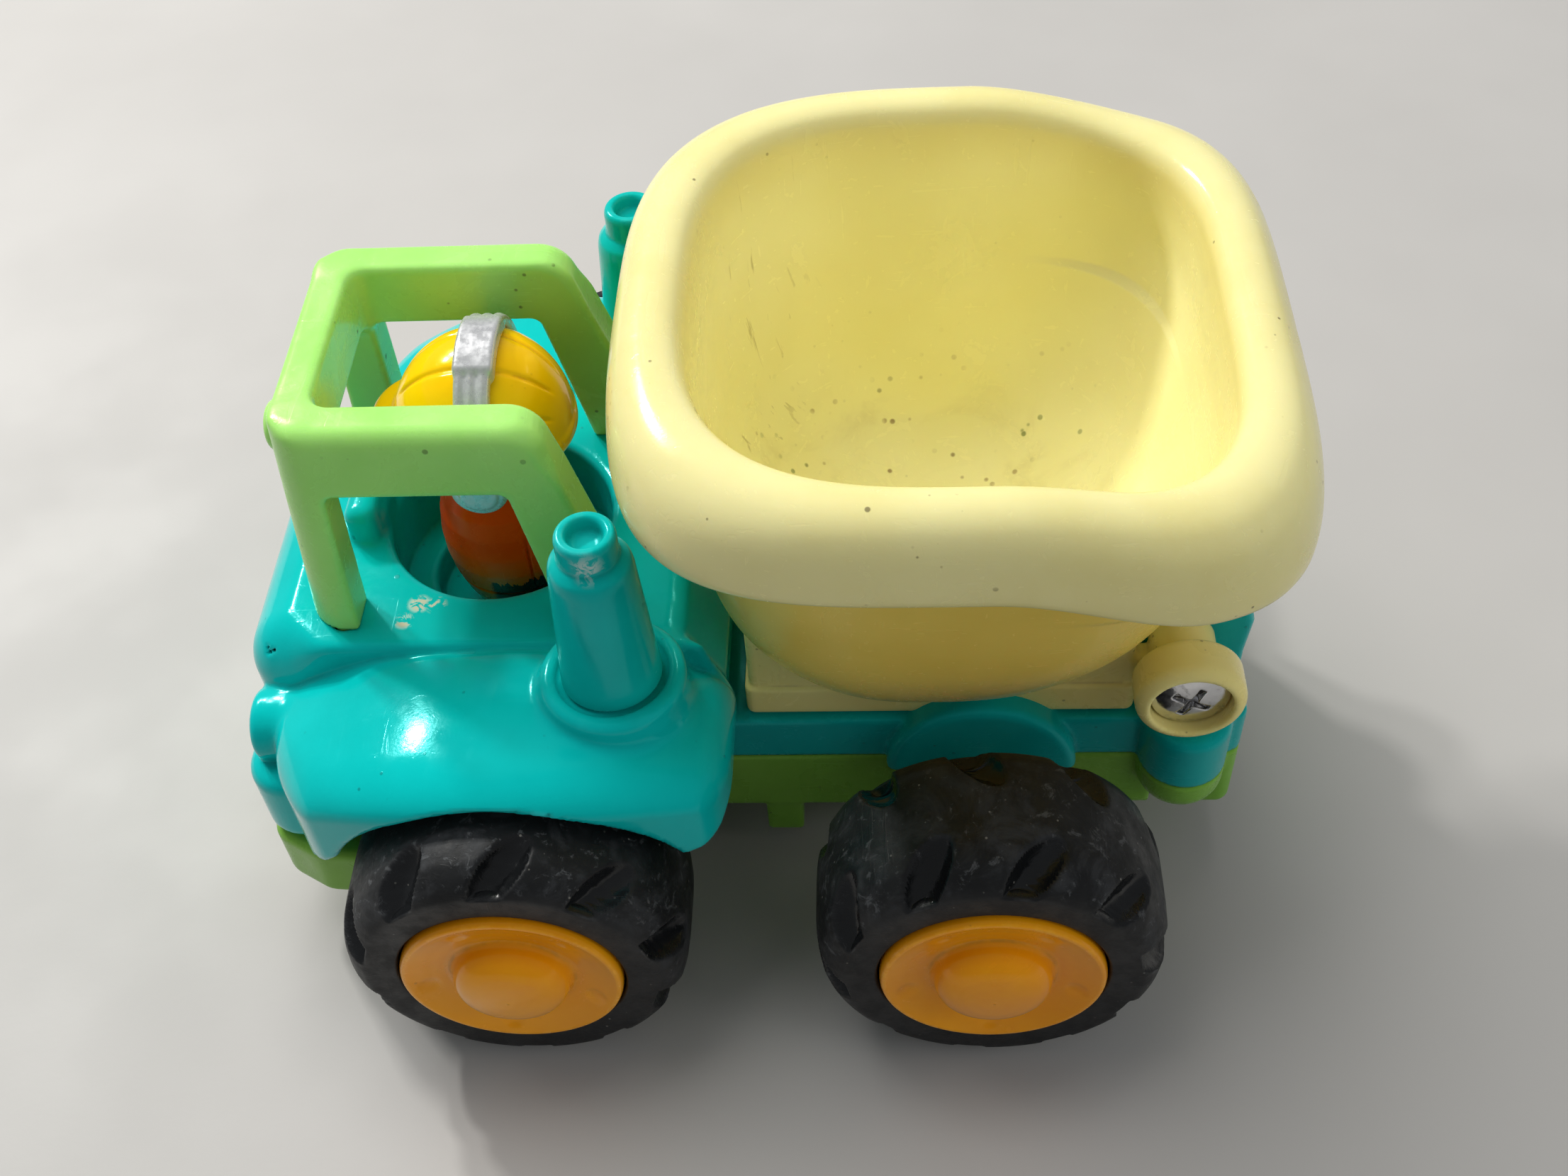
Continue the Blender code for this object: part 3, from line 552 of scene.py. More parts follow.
def tub_marks(k, c, r):
    """Lighter and yellower inside as painted light, deeper gold below the rim as painted shade, ivory rim, scratches
    and specks where loads have rubbed.
    """
    x, y, z = k.xyz()
    rim = k.attr("rim")
    inside = k.attr("inside")
    # the inside is painted lighter than the outside: painted light standing in for the brightly lit inside
    lit_inside_yellow = k.mix(k.ramp(k.noise(50.0, 3.0), 0.3, 0.7), (0.91, 0.85, 0.40), (0.95, 0.90, 0.47))
    c = k.mix(k.math("MULTIPLY", inside, 0.80), c, lit_inside_yellow)
    # the belly below the rim is painted a darker, deeper gold: painted shade under the rim's overhang, with its
    # reflected colour
    shaded_belly_gold = k.mix(k.ramp(k.noise(45.0, 3.0), 0.3, 0.7), (0.80, 0.58, 0.07), (0.87, 0.67, 0.11))
    below = k.math("MULTIPLY", k.math("SUBTRACT", 1.0, inside, clamp=True), k.math("SUBTRACT", 1.0, rim, clamp=True))
    c = k.mix(k.math("MULTIPLY", below, 0.85), c, shaded_belly_gold)
    # rubbed streaks down the front wall
    st = k.noise(1.0, 3.0, 0.6, 0.5, stretch=(500, 900, 70), offset=3.3)
    zone = k.math("MULTIPLY", inside, k.ramp(x, -0.010, 0.0))
    streak = k.math("MULTIPLY", k.ramp(st, 0.64, 0.69), zone)
    c = k.mix(k.math("MULTIPLY", streak, 0.55), c, (0.38, 0.32, 0.13))
    # specks gathered on the floor, some reddish and greenish
    fl = k.math("MULTIPLY", inside, k.ramp(z, 0.052, 0.036))
    cell = k.cells(420.0)
    grp = k.ramp(k.noise(110.0, 2.0, offset=7.7), 0.45, 0.60)
    dots = k.math("MULTIPLY", k.math("MULTIPLY", k.ramp(cell, 0.20, 0.10), grp), fl)
    hue = k.mix(k.ramp(k.noise(90.0, 1.0, offset=4.0), 0.42, 0.56), (0.22, 0.12, 0.05), (0.14, 0.20, 0.06))
    c = k.mix(k.math("MULTIPLY", dots, 0.85), c, hue)
    film = k.math("MULTIPLY", k.ramp(k.noise(75.0, 4.0, 0.6, 0.6, offset=9.1), 0.50, 0.72), fl)
    c = k.mix(k.math("MULTIPLY", film, 0.35), c, (0.55, 0.46, 0.18))
    # one brown rub mark, and a stain on the rim's front
    mk = k.math("MULTIPLY", k.near((-33.0, -15.0, 47.5), 0.8, 3.0),
                k.ramp(k.noise(330.0, 3.0, 0.6, 0.7), 0.50, 0.58))
    c = k.mix(k.math("MULTIPLY", mk, 0.8), c, (0.30, 0.22, 0.09))
    stn = k.math("MULTIPLY", k.math("MULTIPLY", k.ramp(x, 0.0118, 0.0128), rim),
                 k.ramp(k.noise(1.0, 4.0, 0.65, 0.5, stretch=(300, 90, 420), offset=1.9), 0.52, 0.66))
    c = k.mix(k.math("MULTIPLY", stn, 0.55), c, (0.66, 0.38, 0.10))
    edge = k.math("MULTIPLY", k.ramp(x, 0.0118, 0.0130), k.math("MULTIPLY", rim, k.ramp(k.cells(700.0), 0.2, 0.1)))
    c = k.mix(k.math("MULTIPLY", edge, 0.6), c, (0.10, 0.08, 0.05))
    r = k.math("ADD", r, k.math("MULTIPLY", k.math("ADD", streak, k.math("ADD", dots, film)), 0.15), clamp=True)
    return c, r


def coat_light_and_chips(k, c, r):
    """Brighter towards the seat as painted light, with the paint chipped to dark plastic at the bottom."""
    x, y, z = k.xyz()
    # lower part painted a brighter orange: painted light
    c = k.mix(k.ramp(z, 0.0475, 0.0425), c, (1.0, 0.125, 0.0005))
    jag = k.math("MULTIPLY", k.ramp(k.noise(1.0, 3.0, 0.7, stretch=(900, 900, 160), offset=2.0), 0.3, 0.75), 0.0012)
    edge = k.math("SUBTRACT", z, jag)
    chip = k.math("MULTIPLY", k.ramp(edge, CHIP * MM, (CHIP - 0.25) * MM), k.ramp(x, 0.0335, 0.0325))
    c = k.mix(chip, c, (0.02, 0.008, 0.012))
    return c, r


CHIP = 40.3
M = {}
M["turq"] = plastic("turquoise_plastic", (0.001, 0.50, 0.485), (0.001, 0.45, 0.435), (0.003, 0.56, 0.545),
                    rough=0.13, specks=0.5, speck_colour=(0.0, 0.10, 0.10), hollow_grime_shade=(0.01, 0.14, 0.12),
                    sss=0.06, sss_radius=(0.2, 1, 1), extra=deck_marks, tint=(0.12, 1.0, 1.0), seed=0.0, hollow_grime_shade_amount=0.35)
M["stack"] = plastic("turquoise_exhaust_plastic", (0.002, 0.45, 0.42), (0.001, 0.39, 0.37), (0.004, 0.52, 0.48),
                     rough=0.16, specks=0.45, speck_colour=(0.0, 0.10, 0.10), hollow_grime_shade=(0.01, 0.14, 0.12),
                     sss=0.06, sss_radius=(0.2, 1, 1), extra=stack_marks, tint=(0.12, 1.0, 1.0), seed=1.1, hollow_grime_shade_amount=0.35)
M["chassis"] = plastic("turquoise_chassis_plastic", (0.002, 0.40, 0.385), (0.001, 0.34, 0.33), (0.004, 0.47, 0.45),
                       rough=0.20, specks=0.5, speck_colour=(0.0, 0.08, 0.08), hollow_grime_shade=(0.01, 0.10, 0.09),
                       tint=(0.12, 1.0, 1.0), seed=2.2, sss=0.05, sss_radius=(0.2, 1, 1))
M["cage"] = plastic("light_green_plastic", (0.37, 0.77, 0.18), (0.32, 0.71, 0.145), (0.45, 0.83, 0.235),
                    rough=0.24, specks=0.65, speck_colour=(0.05, 0.06, 0.02), hollow_grime_shade=(0.20, 0.30, 0.06),
                    sss=0.30, sss_radius=(0.9, 1.0, 0.25), tint=(0.7, 1.0, 0.4), seed=3.3, scratch=0.6, speck_size=430.0)
M["green"] = plastic("green_chassis_plastic", (0.20, 0.46, 0.055), (0.16, 0.39, 0.04), (0.27, 0.54, 0.09),
                     rough=0.30, specks=0.6, speck_colour=(0.04, 0.05, 0.02), hollow_grime_shade=(0.10, 0.14, 0.04),
                     sss=0.12, sss_radius=(0.9, 1.0, 0.25), tint=(0.6, 1.0, 0.3), seed=4.4)
M["tub"] = plastic("cream_tub_plastic", (0.80, 0.735, 0.33), (0.76, 0.68, 0.28), (0.85, 0.80, 0.41),
                   rough=0.20, specks=0.75, speck_colour=(0.12, 0.09, 0.04), hollow_grime_shade=(0.42, 0.30, 0.12),
                   sss=0.18, sss_radius=(1.0, 0.7, 0.25), extra=tub_marks, tint=(1.0, 0.95, 0.6), seed=5.5, scratch=0.8)
M["base"] = plastic("cream_base_plastic", (0.90, 0.77, 0.28), (0.85, 0.70, 0.22), (0.94, 0.83, 0.35),
                    rough=0.24, specks=0.55, speck_colour=(0.14, 0.10, 0.05), hollow_grime_shade=(0.42, 0.32, 0.15),
                    sss=0.18, sss_radius=(1.0, 0.7, 0.25), tint=(1.0, 0.92, 0.5), seed=6.6)
M["hub"] = plastic("orange_hub_plastic", (0.90, 0.34, 0.002), (0.82, 0.28, 0.001), (0.96, 0.42, 0.006),
                   rough=0.20, specks=0.35, speck_colour=(0.20, 0.08, 0.01), hollow_grime_shade=(0.42, 0.19, 0.02),
                   sss=0.12, sss_radius=(1.0, 0.5, 0.1), tint=(1.0, 0.6, 0.06), seed=7.7, hollow_grime_shade_amount=0.65, coat=0.4)
M["helmet"] = plastic("yellow_helmet_paint", (1.0, 0.60, 0.0005), (0.97, 0.52, 0.0005), (1.0, 0.68, 0.001),
                      rough=0.15, specks=0.2, speck_colour=(0.3, 0.15, 0.01), hollow_grime_shade=(0.50, 0.20, 0.01),
                      tint=(1.0, 0.8, 0.08), seed=8.8, hollow_grime_shade_amount=0.45, coat=0.3)
M["body"] = plastic("orange_body_paint", (0.95, 0.065, 0.0005), (0.86, 0.05, 0.0005), (1.0, 0.095, 0.001),
                    rough=0.25, specks=0.4, speck_colour=(0.05, 0.02, 0.01), hollow_grime_shade=(0.22, 0.05, 0.01),
                    tint=(1.0, 0.45, 0.06), extra=coat_light_and_chips, seed=9.9, hollow_grime_shade_amount=0.8)
M["skin"] = plastic("doll_skin_plastic", (0.80, 0.48, 0.33), (0.74, 0.42, 0.28), (0.86, 0.55, 0.40),
                    rough=0.35, specks=0.2, sss=0.2, sss_radius=(1, 0.5, 0.3), seed=2.9)
M["nylon"] = plastic("natural_nylon", (0.80, 0.79, 0.74), (0.72, 0.71, 0.66), (0.86, 0.85, 0.80),
                     rough=0.40, specks=0.2, sss=0.15, seed=1.9)
M["dark"] = plastic("dark_eye_paint", (0.02, 0.015, 0.012), (0.015, 0.01, 0.01), (0.03, 0.025, 0.02),
                    rough=0.2, specks=0.0, seed=0.9)
# the lens is a darker turquoise: painted shade of the recessed lamp face
M["lens"] = plastic("lamp_lens_shaded_plastic", (0.008, 0.28, 0.28), (0.004, 0.22, 0.22), (0.012, 0.34, 0.33),
                    rough=0.12, specks=0.2, seed=0.3)


def metal(name, base, rough, brush=None, wear=0.5, seed=0.0, dark=(0.05, 0.045, 0.04), bump=0.00002):
    k = Mat(name)
    tone = k.noise(300.0, 4.0, 0.6, offset=seed)
    c = k.mix(k.ramp(tone, 0.3, 0.7), tuple(v * 0.82 for v in base), base)
    spot = k.math("MULTIPLY", k.ramp(k.noise(520.0, 5.0, 0.7, 0.5, offset=seed + 3), 0.52, 0.66), wear)
    c = k.mix(spot, c, dark)
    bend = k.attr("bend")
    # the hollows are darkened: painted shade
    c = k.mix(k.ramp(bend, -0.1, -0.6, 0.0, 0.7), c, dark)
    r = k.ramp(k.noise(700.0, 4.0, 0.6, offset=seed), 0.3, 0.7, rough * 0.6, rough * 1.7)
    r = k.math("ADD", r, k.math("MULTIPLY", spot, 0.25), clamp=True)
    k.out("Base Color", c)
    k.out("Roughness", r)
    k.set("Metallic", 1.0)
    h = k.noise(1.0, 3.0, 0.6, stretch=brush or (900, 900, 900), offset=seed)
    n1 = k.bump(h, bump, 0.6)
    n2 = k.bump(k.noise(2200.0, 3.0, 0.6), bump * 0.8, 0.5, n1)
    k.l.new(n2, k.b.inputs["Normal"])
    return k.m


M["chrome"] = metal("chromed_screw", (0.80, 0.80, 0.81), 0.14, wear=0.35)
M["steel"] = metal("zinc_steel", (0.62, 0.62, 0.60), 0.32, wear=0.45, seed=1.0)
M["weight"] = metal("turned_weight", (0.50, 0.49, 0.47), 0.35, brush=(400, 3000, 400), wear=0.3, seed=2.0)


def silver_paint():
    k = Mat("silver_paint")
    flake = k.noise(3200.0, 2.0, 0.6)
    tone = k.noise(240.0, 4.0, 0.6)
    c = k.mix(k.ramp(tone, 0.3, 0.7), (0.56, 0.57, 0.59), (0.70, 0.71, 0.73))
    c = k.mix(k.ramp(flake, 0.4, 0.7, 0.0, 0.35), c, (0.80, 0.81, 0.83))
    bend = k.attr("bend")
    worn = k.math("MULTIPLY", k.ramp(bend, 0.3, 0.9), k.ramp(k.noise(600.0, 4.0, 0.6), 0.5, 0.62))
    c = k.mix(k.math("MULTIPLY", worn, 0.2), c, (0.80, 0.66, 0.30))
    # the hollows are darkened to grey: painted shade
    c = k.mix(k.ramp(bend, -0.4, -1.2, 0.0, 0.20), c, (0.2, 0.2, 0.2))
    k.out("Base Color", c)
    k.out("Roughness", k.ramp(k.noise(800.0, 3.0), 0.3, 0.7, 0.22, 0.42))
    k.set("Metallic", 0.55)
    k.l.new(k.bump(flake, 0.000006, 0.5), k.b.inputs["Normal"])
    return k.m


def tyre_rubber():
    k = Mat("tyre_rubber")
    tone = k.noise(90.0, 4.0, 0.6)
    c = k.mix(k.ramp(tone, 0.3, 0.7), (0.0045, 0.005, 0.0055), (0.010, 0.011, 0.012))
    scoop = k.attr("scoop")
    # dusty grey scuffs on the standing surfaces
    dust = k.math("MULTIPLY", k.ramp(k.noise(160.0, 6.0, 0.7, 0.7), 0.44, 0.68),
                  k.math("SUBTRACT", 1.0, scoop, clamp=True))
    tread = k.attr("tread")
    dust = k.math("MULTIPLY", dust, k.ramp(tread, 0.0, 1.0, 0.25, 1.0))
    c = k.mix(k.math("MULTIPLY", dust, 0.30), c, (0.075, 0.08, 0.088))
    rub = k.math("MULTIPLY", k.ramp(k.noise(520.0, 6.0, 0.75, 0.6), 0.56, 0.66), tread)
    c = k.mix(k.math("MULTIPLY", rub, 0.30), c, (0.17, 0.18, 0.19))
    bend = k.attr("bend")
    # lighter along the sharp edges: a painted highlight, together with scuffing
    edge = k.math("MULTIPLY", k.ramp(bend, 0.35, 1.0), k.ramp(k.noise(330.0, 4.0, 0.6), 0.40, 0.60))
    c = k.mix(k.math("MULTIPLY", edge, 0.32), c, (0.13, 0.13, 0.13))
    c = k.mix(k.math("MULTIPLY", k.math("MULTIPLY", k.ramp(k.cells(650.0), 0.12, 0.06), k.ramp(k.noise(200.0, 1.0), 0.55, 0.62)), 0.5),
              c, (0.30, 0.29, 0.26))
    k.out("Base Color", c)
    r = k.ramp(k.noise(300.0, 5.0, 0.65), 0.3, 0.7, 0.42, 0.66)
    r = k.math("SUBTRACT", r, k.math("MULTIPLY", scoop, 0.34), clamp=True)
    r = k.math("ADD", r, k.math("MULTIPLY", dust, 0.10), clamp=True)
    k.out("Roughness", r)
    k.set("IOR", 1.5)
    k.set("Specular IOR Level", 0.38)
    h = k.math("ADD", k.noise(1500.0, 4.0, 0.65), k.math("MULTIPLY", k.noise(320.0, 4.0, 0.6), 1.3))
    n1 = k.bump(h, 0.00005, 0.55)
    n2 = k.bump(scratches(k, 3.0), 0.00003, 0.4, n1)
    k.l.new(n2, k.b.inputs["Normal"])
    return k.m


M["silver"] = silver_paint()
M["rubber"] = tyre_rubber()


# ---------------------------------------------------------------------- cab
def cab_field(x, y, z):
    ay = abs(y)
    top = 45.6 - (x - 27.0) ** 2 / 104.0
    half = 45.0 - 4.6 * ((x - 28.0) / 24.0) ** 2 - 4.6 * (np.maximum(x - 50.0, 0) / 5.5) ** 1.6
    crown = 0.55 - 0.005 * (ay - 31.0) ** 2 \
        - 1.75 * step(46.0, 31.0, x) * np.exp(-np.maximum(ay - 22.0, 0) / 1.2)
    wing = rint((ay - half) / 2.0, z - (top + crown), 3.4)
    wing = rint(wing, 19.0 - ay, 0.3)
    wing = rint(wing, 2.0 - x, 3.6)
    wing = rint(wing, x - 57.9, 2.4)
    edge = 1.2 + 6.8 * step(50.0, 58.0, x)
    deck = rint(rint(ay - 22.0, x - 62.2, 6.5), z - 45.0, edge)
    deck = rint(deck, 2.0 - x, 3.8)
    body = smin(wing, deck, 0.9)
    # nose below the head lamps, and the block that carries them
    nose = rint(rint(ay - 31.6, x - 62.8, 5.5), z - 30.3, 2.0)
    nose = rint(nose, 50.0 - x, 0.4)
    brow = rint(rint(ay - 28.0, x - 60.3, 4.5), z - 37.6, 3.2)
    brow = rint(brow, 50.0 - x, 0.4)
    body = smin(body, smin(nose, brow, 0.8), 0.8)
    low = np.interp(x, [2.0, 3.2, 5.6, 9.0, 18.0, 46.0, 51.0, 54.0, 57.0, 59.4, 61.2, 62.3],
                    [32.6, 31.0, 30.1, 29.6, 28.8, 28.8, 27.0, 24.6, 21.6, 19.6, 19.0, 19.4]).astype(F4)
    low = np.minimum(low, np.where(ay > 21.0, np.interp(x, [2.0, 46.0, 50.0, 62.3], [40.0, 30.0, 19.2, 19.2]), 40.0))
    body = rint(body, low - z, 1.2)
    # collar round the exhaust and its skirt down the wing
    sx, sy = x - 15.0, ay - 28.0
    rad = length(sx, sy)
    collar = rint(rad - (8.5 + 1.2 * step(45.5, 39.0, z)), z - 47.9, 1.1)
    collar = rint(collar, 34.0 - z, 0.5)
    body = smin(body, collar, 1.5)
    body = rsub(body, rint(rad - 6.5, 47.25 - z, 0.1), 0.35)
    body = rint(body, -rint(rad - 3.1, 41.0 - z, 0.1), 0.2)
    # head lamps
    lr = length(ay - 24.0, z - 33.2)
    lamp = rint(lr - 4.5, x - 60.9, 1.0)
    lamp = rint(lamp, 54.0 - x, 0.5)
    body = smin(body, lamp, 0.9)
    body = rsub(body, rint(lr - 3.3, 59.7 - x, 0.1), 0.4)
    # dashboard
    dash = sbox(x, y, z, 46.3, 50.6, -5.2, 5.2, 40.0, 50.2, 1.7)
    hub = scyl(x - 47.2, y, z, 3.1, 40.0, 48.4, 1.2)
    body = smin(body, smin(dash, hub, 1.2), 1.0)
    # wheel arches, which open out at the front foot of the wing
    arch = length(x - 28.0, z - 20.5) - 22.4
    arch = np.minimum(arch, sbox(x, 0 * y, z, 5.3, 50.7, -1, 1, 0.0, 22.5, 0.4))
    foot = spoly(x, z, [(40.0, 30.0), (46.3, 33.0), (48.4, 29.9), (50.3, 27.9), (52.3, 25.9), (53.5, 24.0),
                        (54.3, 22.0), (54.9, 19.5), (55.0, 10.0), (40.0, 10.0)])
    foot = np.maximum(foot, 31.5 - ay)
    arch = np.minimum(arch, foot)
    arch = rint(arch, 24.2 - ay, 0.4)
    body = rsub(body, arch, 0.8)
    # chassis and tub recesses
    body = rsub(body, sbox(x, y, z, -9.0, 52.4, -21.3, 21.3, 4.0, 28.3, 0.4), 0.5)
    body = rsub(body, sbox(x, y, z, -9.0, 58.0, -26.0, 26.0, 4.0, 20.3, 0.4), 0.5)
    back = np.maximum((x - 8.2) * 0.88 + (45.0 - z) * 0.46, x - 8.2)
    back = np.minimum(back, x - 3.3)
    back = rint(back, ay - 21.3, 3.0)
    body = rsub(body, np.maximum(back, 15.0 - z), 1.3)
    # hollow round the cup of the driver's well
    wr = length(x - 32.0, y)
    room = sbox(x, y, z, 10.4, 58.4, -19.6, 19.6, 24.0, 42.2, 0.8)
    body = rint(body, -np.maximum(room, 16.0 - wr), 0.3)
    # the driver's well, with a step half way down
    body = rsub(body, rint(wr - 13.9, 35.1 - z, 0.3), 1.1)
    body = rsub(body, rint(wr - 10.0, 31.2 - z, 0.6), 0.6)
    # pegs of the cage stand in shallow sockets
    for px, py in ((48.6, 17.6), (16.6, 17.6)):
        body = rint(body, -rint(length(x - px, ay - py) - 1.5, 40.0 - z, 0.1), 0.15)
    # round ejector mark on the deck
    mk = abs(length(x - 10.8, ay - 17.0) - 2.6) - 0.16
    body = smax(body, -(length(np.maximum(mk, 0), np.maximum(abs(z - 45.0) - 0.1, 0)) - 0.05), 0.15)
    return body


cab = field("cab_body_shell", cab_field, (1.5, -47.0, 18.0), (63.2, 47.0, 51.0), 0.50, M["turq"])
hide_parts("cab_shell")
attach(cab, "body")

for tag, s in (("left", 1), ("right", -1)):
    lens = revolve("lamp_lens_" + tag,
                   soften([(0.02, 60.8), (1.3, 60.7), (2.3, 60.4), (2.9, 60.1), (3.05, 59.75), (3.05, 58.7), (0.02, 58.7)],
                          r=0.3, pitch=0.2), (s * 24.0, 33.2), "X", 48, M["lens"])
    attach(lens, "body")

# ------------------------------------------------------------------ exhausts
for tag, s in (("left", 1), ("right", -1)):
    prof = [(0.02, 41.6), (2.8, 41.6), (2.8, 47.5), (5.85, 47.5), (5.8, 48.6), (5.55, 52.0), (5.25, 57.0),
            (4.95, 62.0), (4.75, 65.4), (4.5, 66.5), (3.9, 67.1), (3.38, 67.5), (3.38, 70.3),
            (3.05, 70.9), (2.35, 70.9), (2.0, 70.45), (1.85, 69.4), (1.2, 69.0), (0.02, 68.95)]
    st = revolve("exhaust_stack_" + tag, soften(prof, r=0.55, pitch=0.35), (15.0, s * 28.0), "Z", 96, M["stack"])
    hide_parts("exhaust_" + tag)
    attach(st, "body")

# ----------------------------------------------------------------- roll cage
CAGE_PTS = rounded([(53.0, 43.0), (51.3, 74.8), (21.3, 74.8), (12.3, 43.0), (21.2, 43.0),
                    (25.5, 65.8), (46.1, 65.8), (46.6, 43.0)],
                   [0.0, 3.9, 4.6, 0.0, 0.0, 1.3, 1.3, 0.0], 7)


def cage_field(x, y, z):
    ay = abs(y)
    lean = (74.5 - z) * 0.07
    p = spoly(x, z, CAGE_PTS)
    t = ay - 14.4 - lean
    up = step(66.5, 71.5, z)
    side = rint(p, t - 2.85, 0.8 + 1.7 * up)
    side = rint(side, -t - 2.75, 0.7 + 0.5 * up)
    beam = rint(abs(x - 49.0) - 2.25, abs(z - 70.2) - 4.55, 1.1)
    beam = rint(beam, ay - 14.0, 0.6)
    c = smin(side, beam, 2.6)
    plan = rint(ay - 17.3 - lean, x - (51.35 + (74.5 - z) * 0.055), 5.6)
    c = smax(c, plan, 0.5)
    c = smax(c, z - 74.8, 0.5)
    c = rint(c, 45.08 - z, 0.2)
    lamp = rint(length(y - 9.2, z - 69.4) - 3.0, x - 52.9, 1.0)
    lamp = rint(lamp, 48.0 - x, 0.5)
    c = smin(c, lamp, 0.7)
    pegs = None
    for px, py in ((48.6, 17.6), (16.6, 17.6)):
        g = scyl(x - px, ay - py, z, 1.2, 42.2, 46.5, 0.3)
        pegs = g if pegs is None else np.minimum(pegs, g)
    return np.minimum(c, pegs)


cage = field("cage_frame", cage_field, (10.5, -20.5, 41.5), (54.0, 20.5, 75.5), 0.36, M["cage"])
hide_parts("roll_cage")
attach(cage, "body")

# ------------------------------------------------------------------- chassis
POST = (-53.2, 20.5)


def top_field(x, y, z):
    ay = abs(y)
    plan = rint(ay - 20.5, abs(x + 4.4) - 56.4, 2.0)
    c = rint(plan, z - 27.9, 0.7)
    c = rint(c, 20.65 - z, 0.25)
    disc = scyl(x + 28.0, z - 20.5, ay, 11.9, 12.0, 23.0, 1.2)
    c = smin(c, rint(disc, 20.65 - z, 0.25), 0.4)
    post = rint(length(x - POST[0], ay - POST[1]) - 5.5, z - 29.3, 1.5)
    post = rint(post, 20.65 - z, 0.25)
    c = smin(c, post, 0.8)
    up = spoly(x, z, UP)
    up = rint(up, ay - 15.4, 1.0)
    c = smin(c, up, 0.8)
    c = rsub(c, sbox(x, y, z, -58.0, 49.0, -17.8, 17.8, 10.0, 25.6, 0.6), 0.3)
    for bx in (28.0, -28.0):
        c = rint(c, -(length(x - bx, z - 20.5) - 1.9), 0.15)
    c = rint(c, -rint(length(x - PIV[0], z - PIV[2]) - 1.5, 6.0 - ay, 0.1), 0.15)
    return c


UP = [(-47.1, 24.0), (-47.1, PIV[2])]
for i in range(1, 7):
    t = math.radians(90.0 * i / 6)
    UP.append((PIV[0] + 4.3 * math.cos(t), PIV[2] + 4.3 * math.sin(t)))
UP += rounded([(-57.0, 43.4), (-59.8, 42.4), (-60.5, 39.6), (-60.0, 34.0), (-59.9, 24.0)], [0, 1.2, 1.0, 0, 0], 4)

ct = field("chassis_upper", top_field, (-61.2, -26.5, 20.3), (52.6, 26.5, 44.0), 0.42, M["chassis"])
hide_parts("chassis_top")
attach(ct, "body")

SCREWS = (("screw_rear_left", -53.2, 20.5, 14.2), ("screw_rear_right", -53.2, -20.5, 14.2),
          ("screw_mid_left", 6.0, 13.0, 9.3), ("screw_mid_right", 6.0, -13.0, 9.3),
          ("screw_front_left", 45.0, 13.0, 9.3), ("screw_front_right", 45.0, -13.0, 9.3))
BUMPER = rounded([(48.0, -34.0), (56.0, -33.4), (62.4, -29.8), (62.4, 29.8), (56.0, 33.4), (48.0, 34.0)],
                 [1.5, 4, 4, 4, 4, 1.5], 8)


def bottom_field(x, y, z):
    ay = abs(y)
    plan = rint(ay - 20.5, abs(x + 4.4) - 56.4, 2.0)
    c = rint(plan, 9.3 - z, 1.0)
    c = rint(c, z - 20.35, 0.25)
    b = rint(spoly(x, y, BUMPER), abs(z - 13.75) - 4.65, 1.3)
    c = smin(c, b, 0.6)
    post = length(x - POST[0], ay - POST[1], np.minimum(z - 18.2, 0) * 1.25) - 5.5
    post = rint(post, z - 20.35, 0.25)
    post = rint(post, 14.2 - z, 0.3)
    c = smin(c, post, 0.8)
    lug = sbox(x, ay, z, -4.9, -0.1, 16.9, 20.4, 3.6, 11.0, 0.5)
    c = smin(c, lug, 0.5)
    for _, sx, sy, z0 in SCREWS[::2]:
        rr = length(x - sx, ay - sy)
        c = rsub(c, rint(rr - 2.95, z - (z0 + 2.2), 0.1), 0.4)
        c = rint(c, -(rr - 1.55), 0.15)
    c = rsub(c, sbox(x, y, z, -58.0, 49.0, -17.8, 17.8, 12.0, 30.0, 0.6), 0.3)
    for _, sx, sy, z0 in SCREWS[2::2]:
        rr = length(x - sx, ay - sy)
        c = np.minimum(c, np.maximum(np.maximum(rr - 4.2, 1.6 - rr), abs(z - 16.2) - 4.1))
    for bx in (28.0, -28.0):
        c = rint(c, -(length(x - bx, z - 20.5) - 1.9), 0.15)
    return c


cb = field("chassis_lower", bottom_field, (-61.2, -34.0, 3.2), (62.0, 34.0, 20.6), 0.45, M["green"])
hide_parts("chassis_bottom")
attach(cb, "body")


# --------------------------------------------------------------------- wheels
def tyre_profile():
    pts = [(12.2, 34.0), (13.6, 33.3), (16.6, 33.0), (17.6, 33.1), (19.2, 34.0), (20.1, 35.6), (20.45, 37.8),
           (20.5, 40.0), (20.5, 44.6), (20.38, 47.0), (20.0, 48.9), (19.2, 50.5), (18.3, 51.5), (17.45, 52.0),
           (16.9, 52.05), (13.6, 51.9), (13.35, 51.6), (13.3, 49.6), (12.2, 49.3)]
    return soften(pts, closed=True, r=0.5, pitch=0.30)


SCOOPS = 10


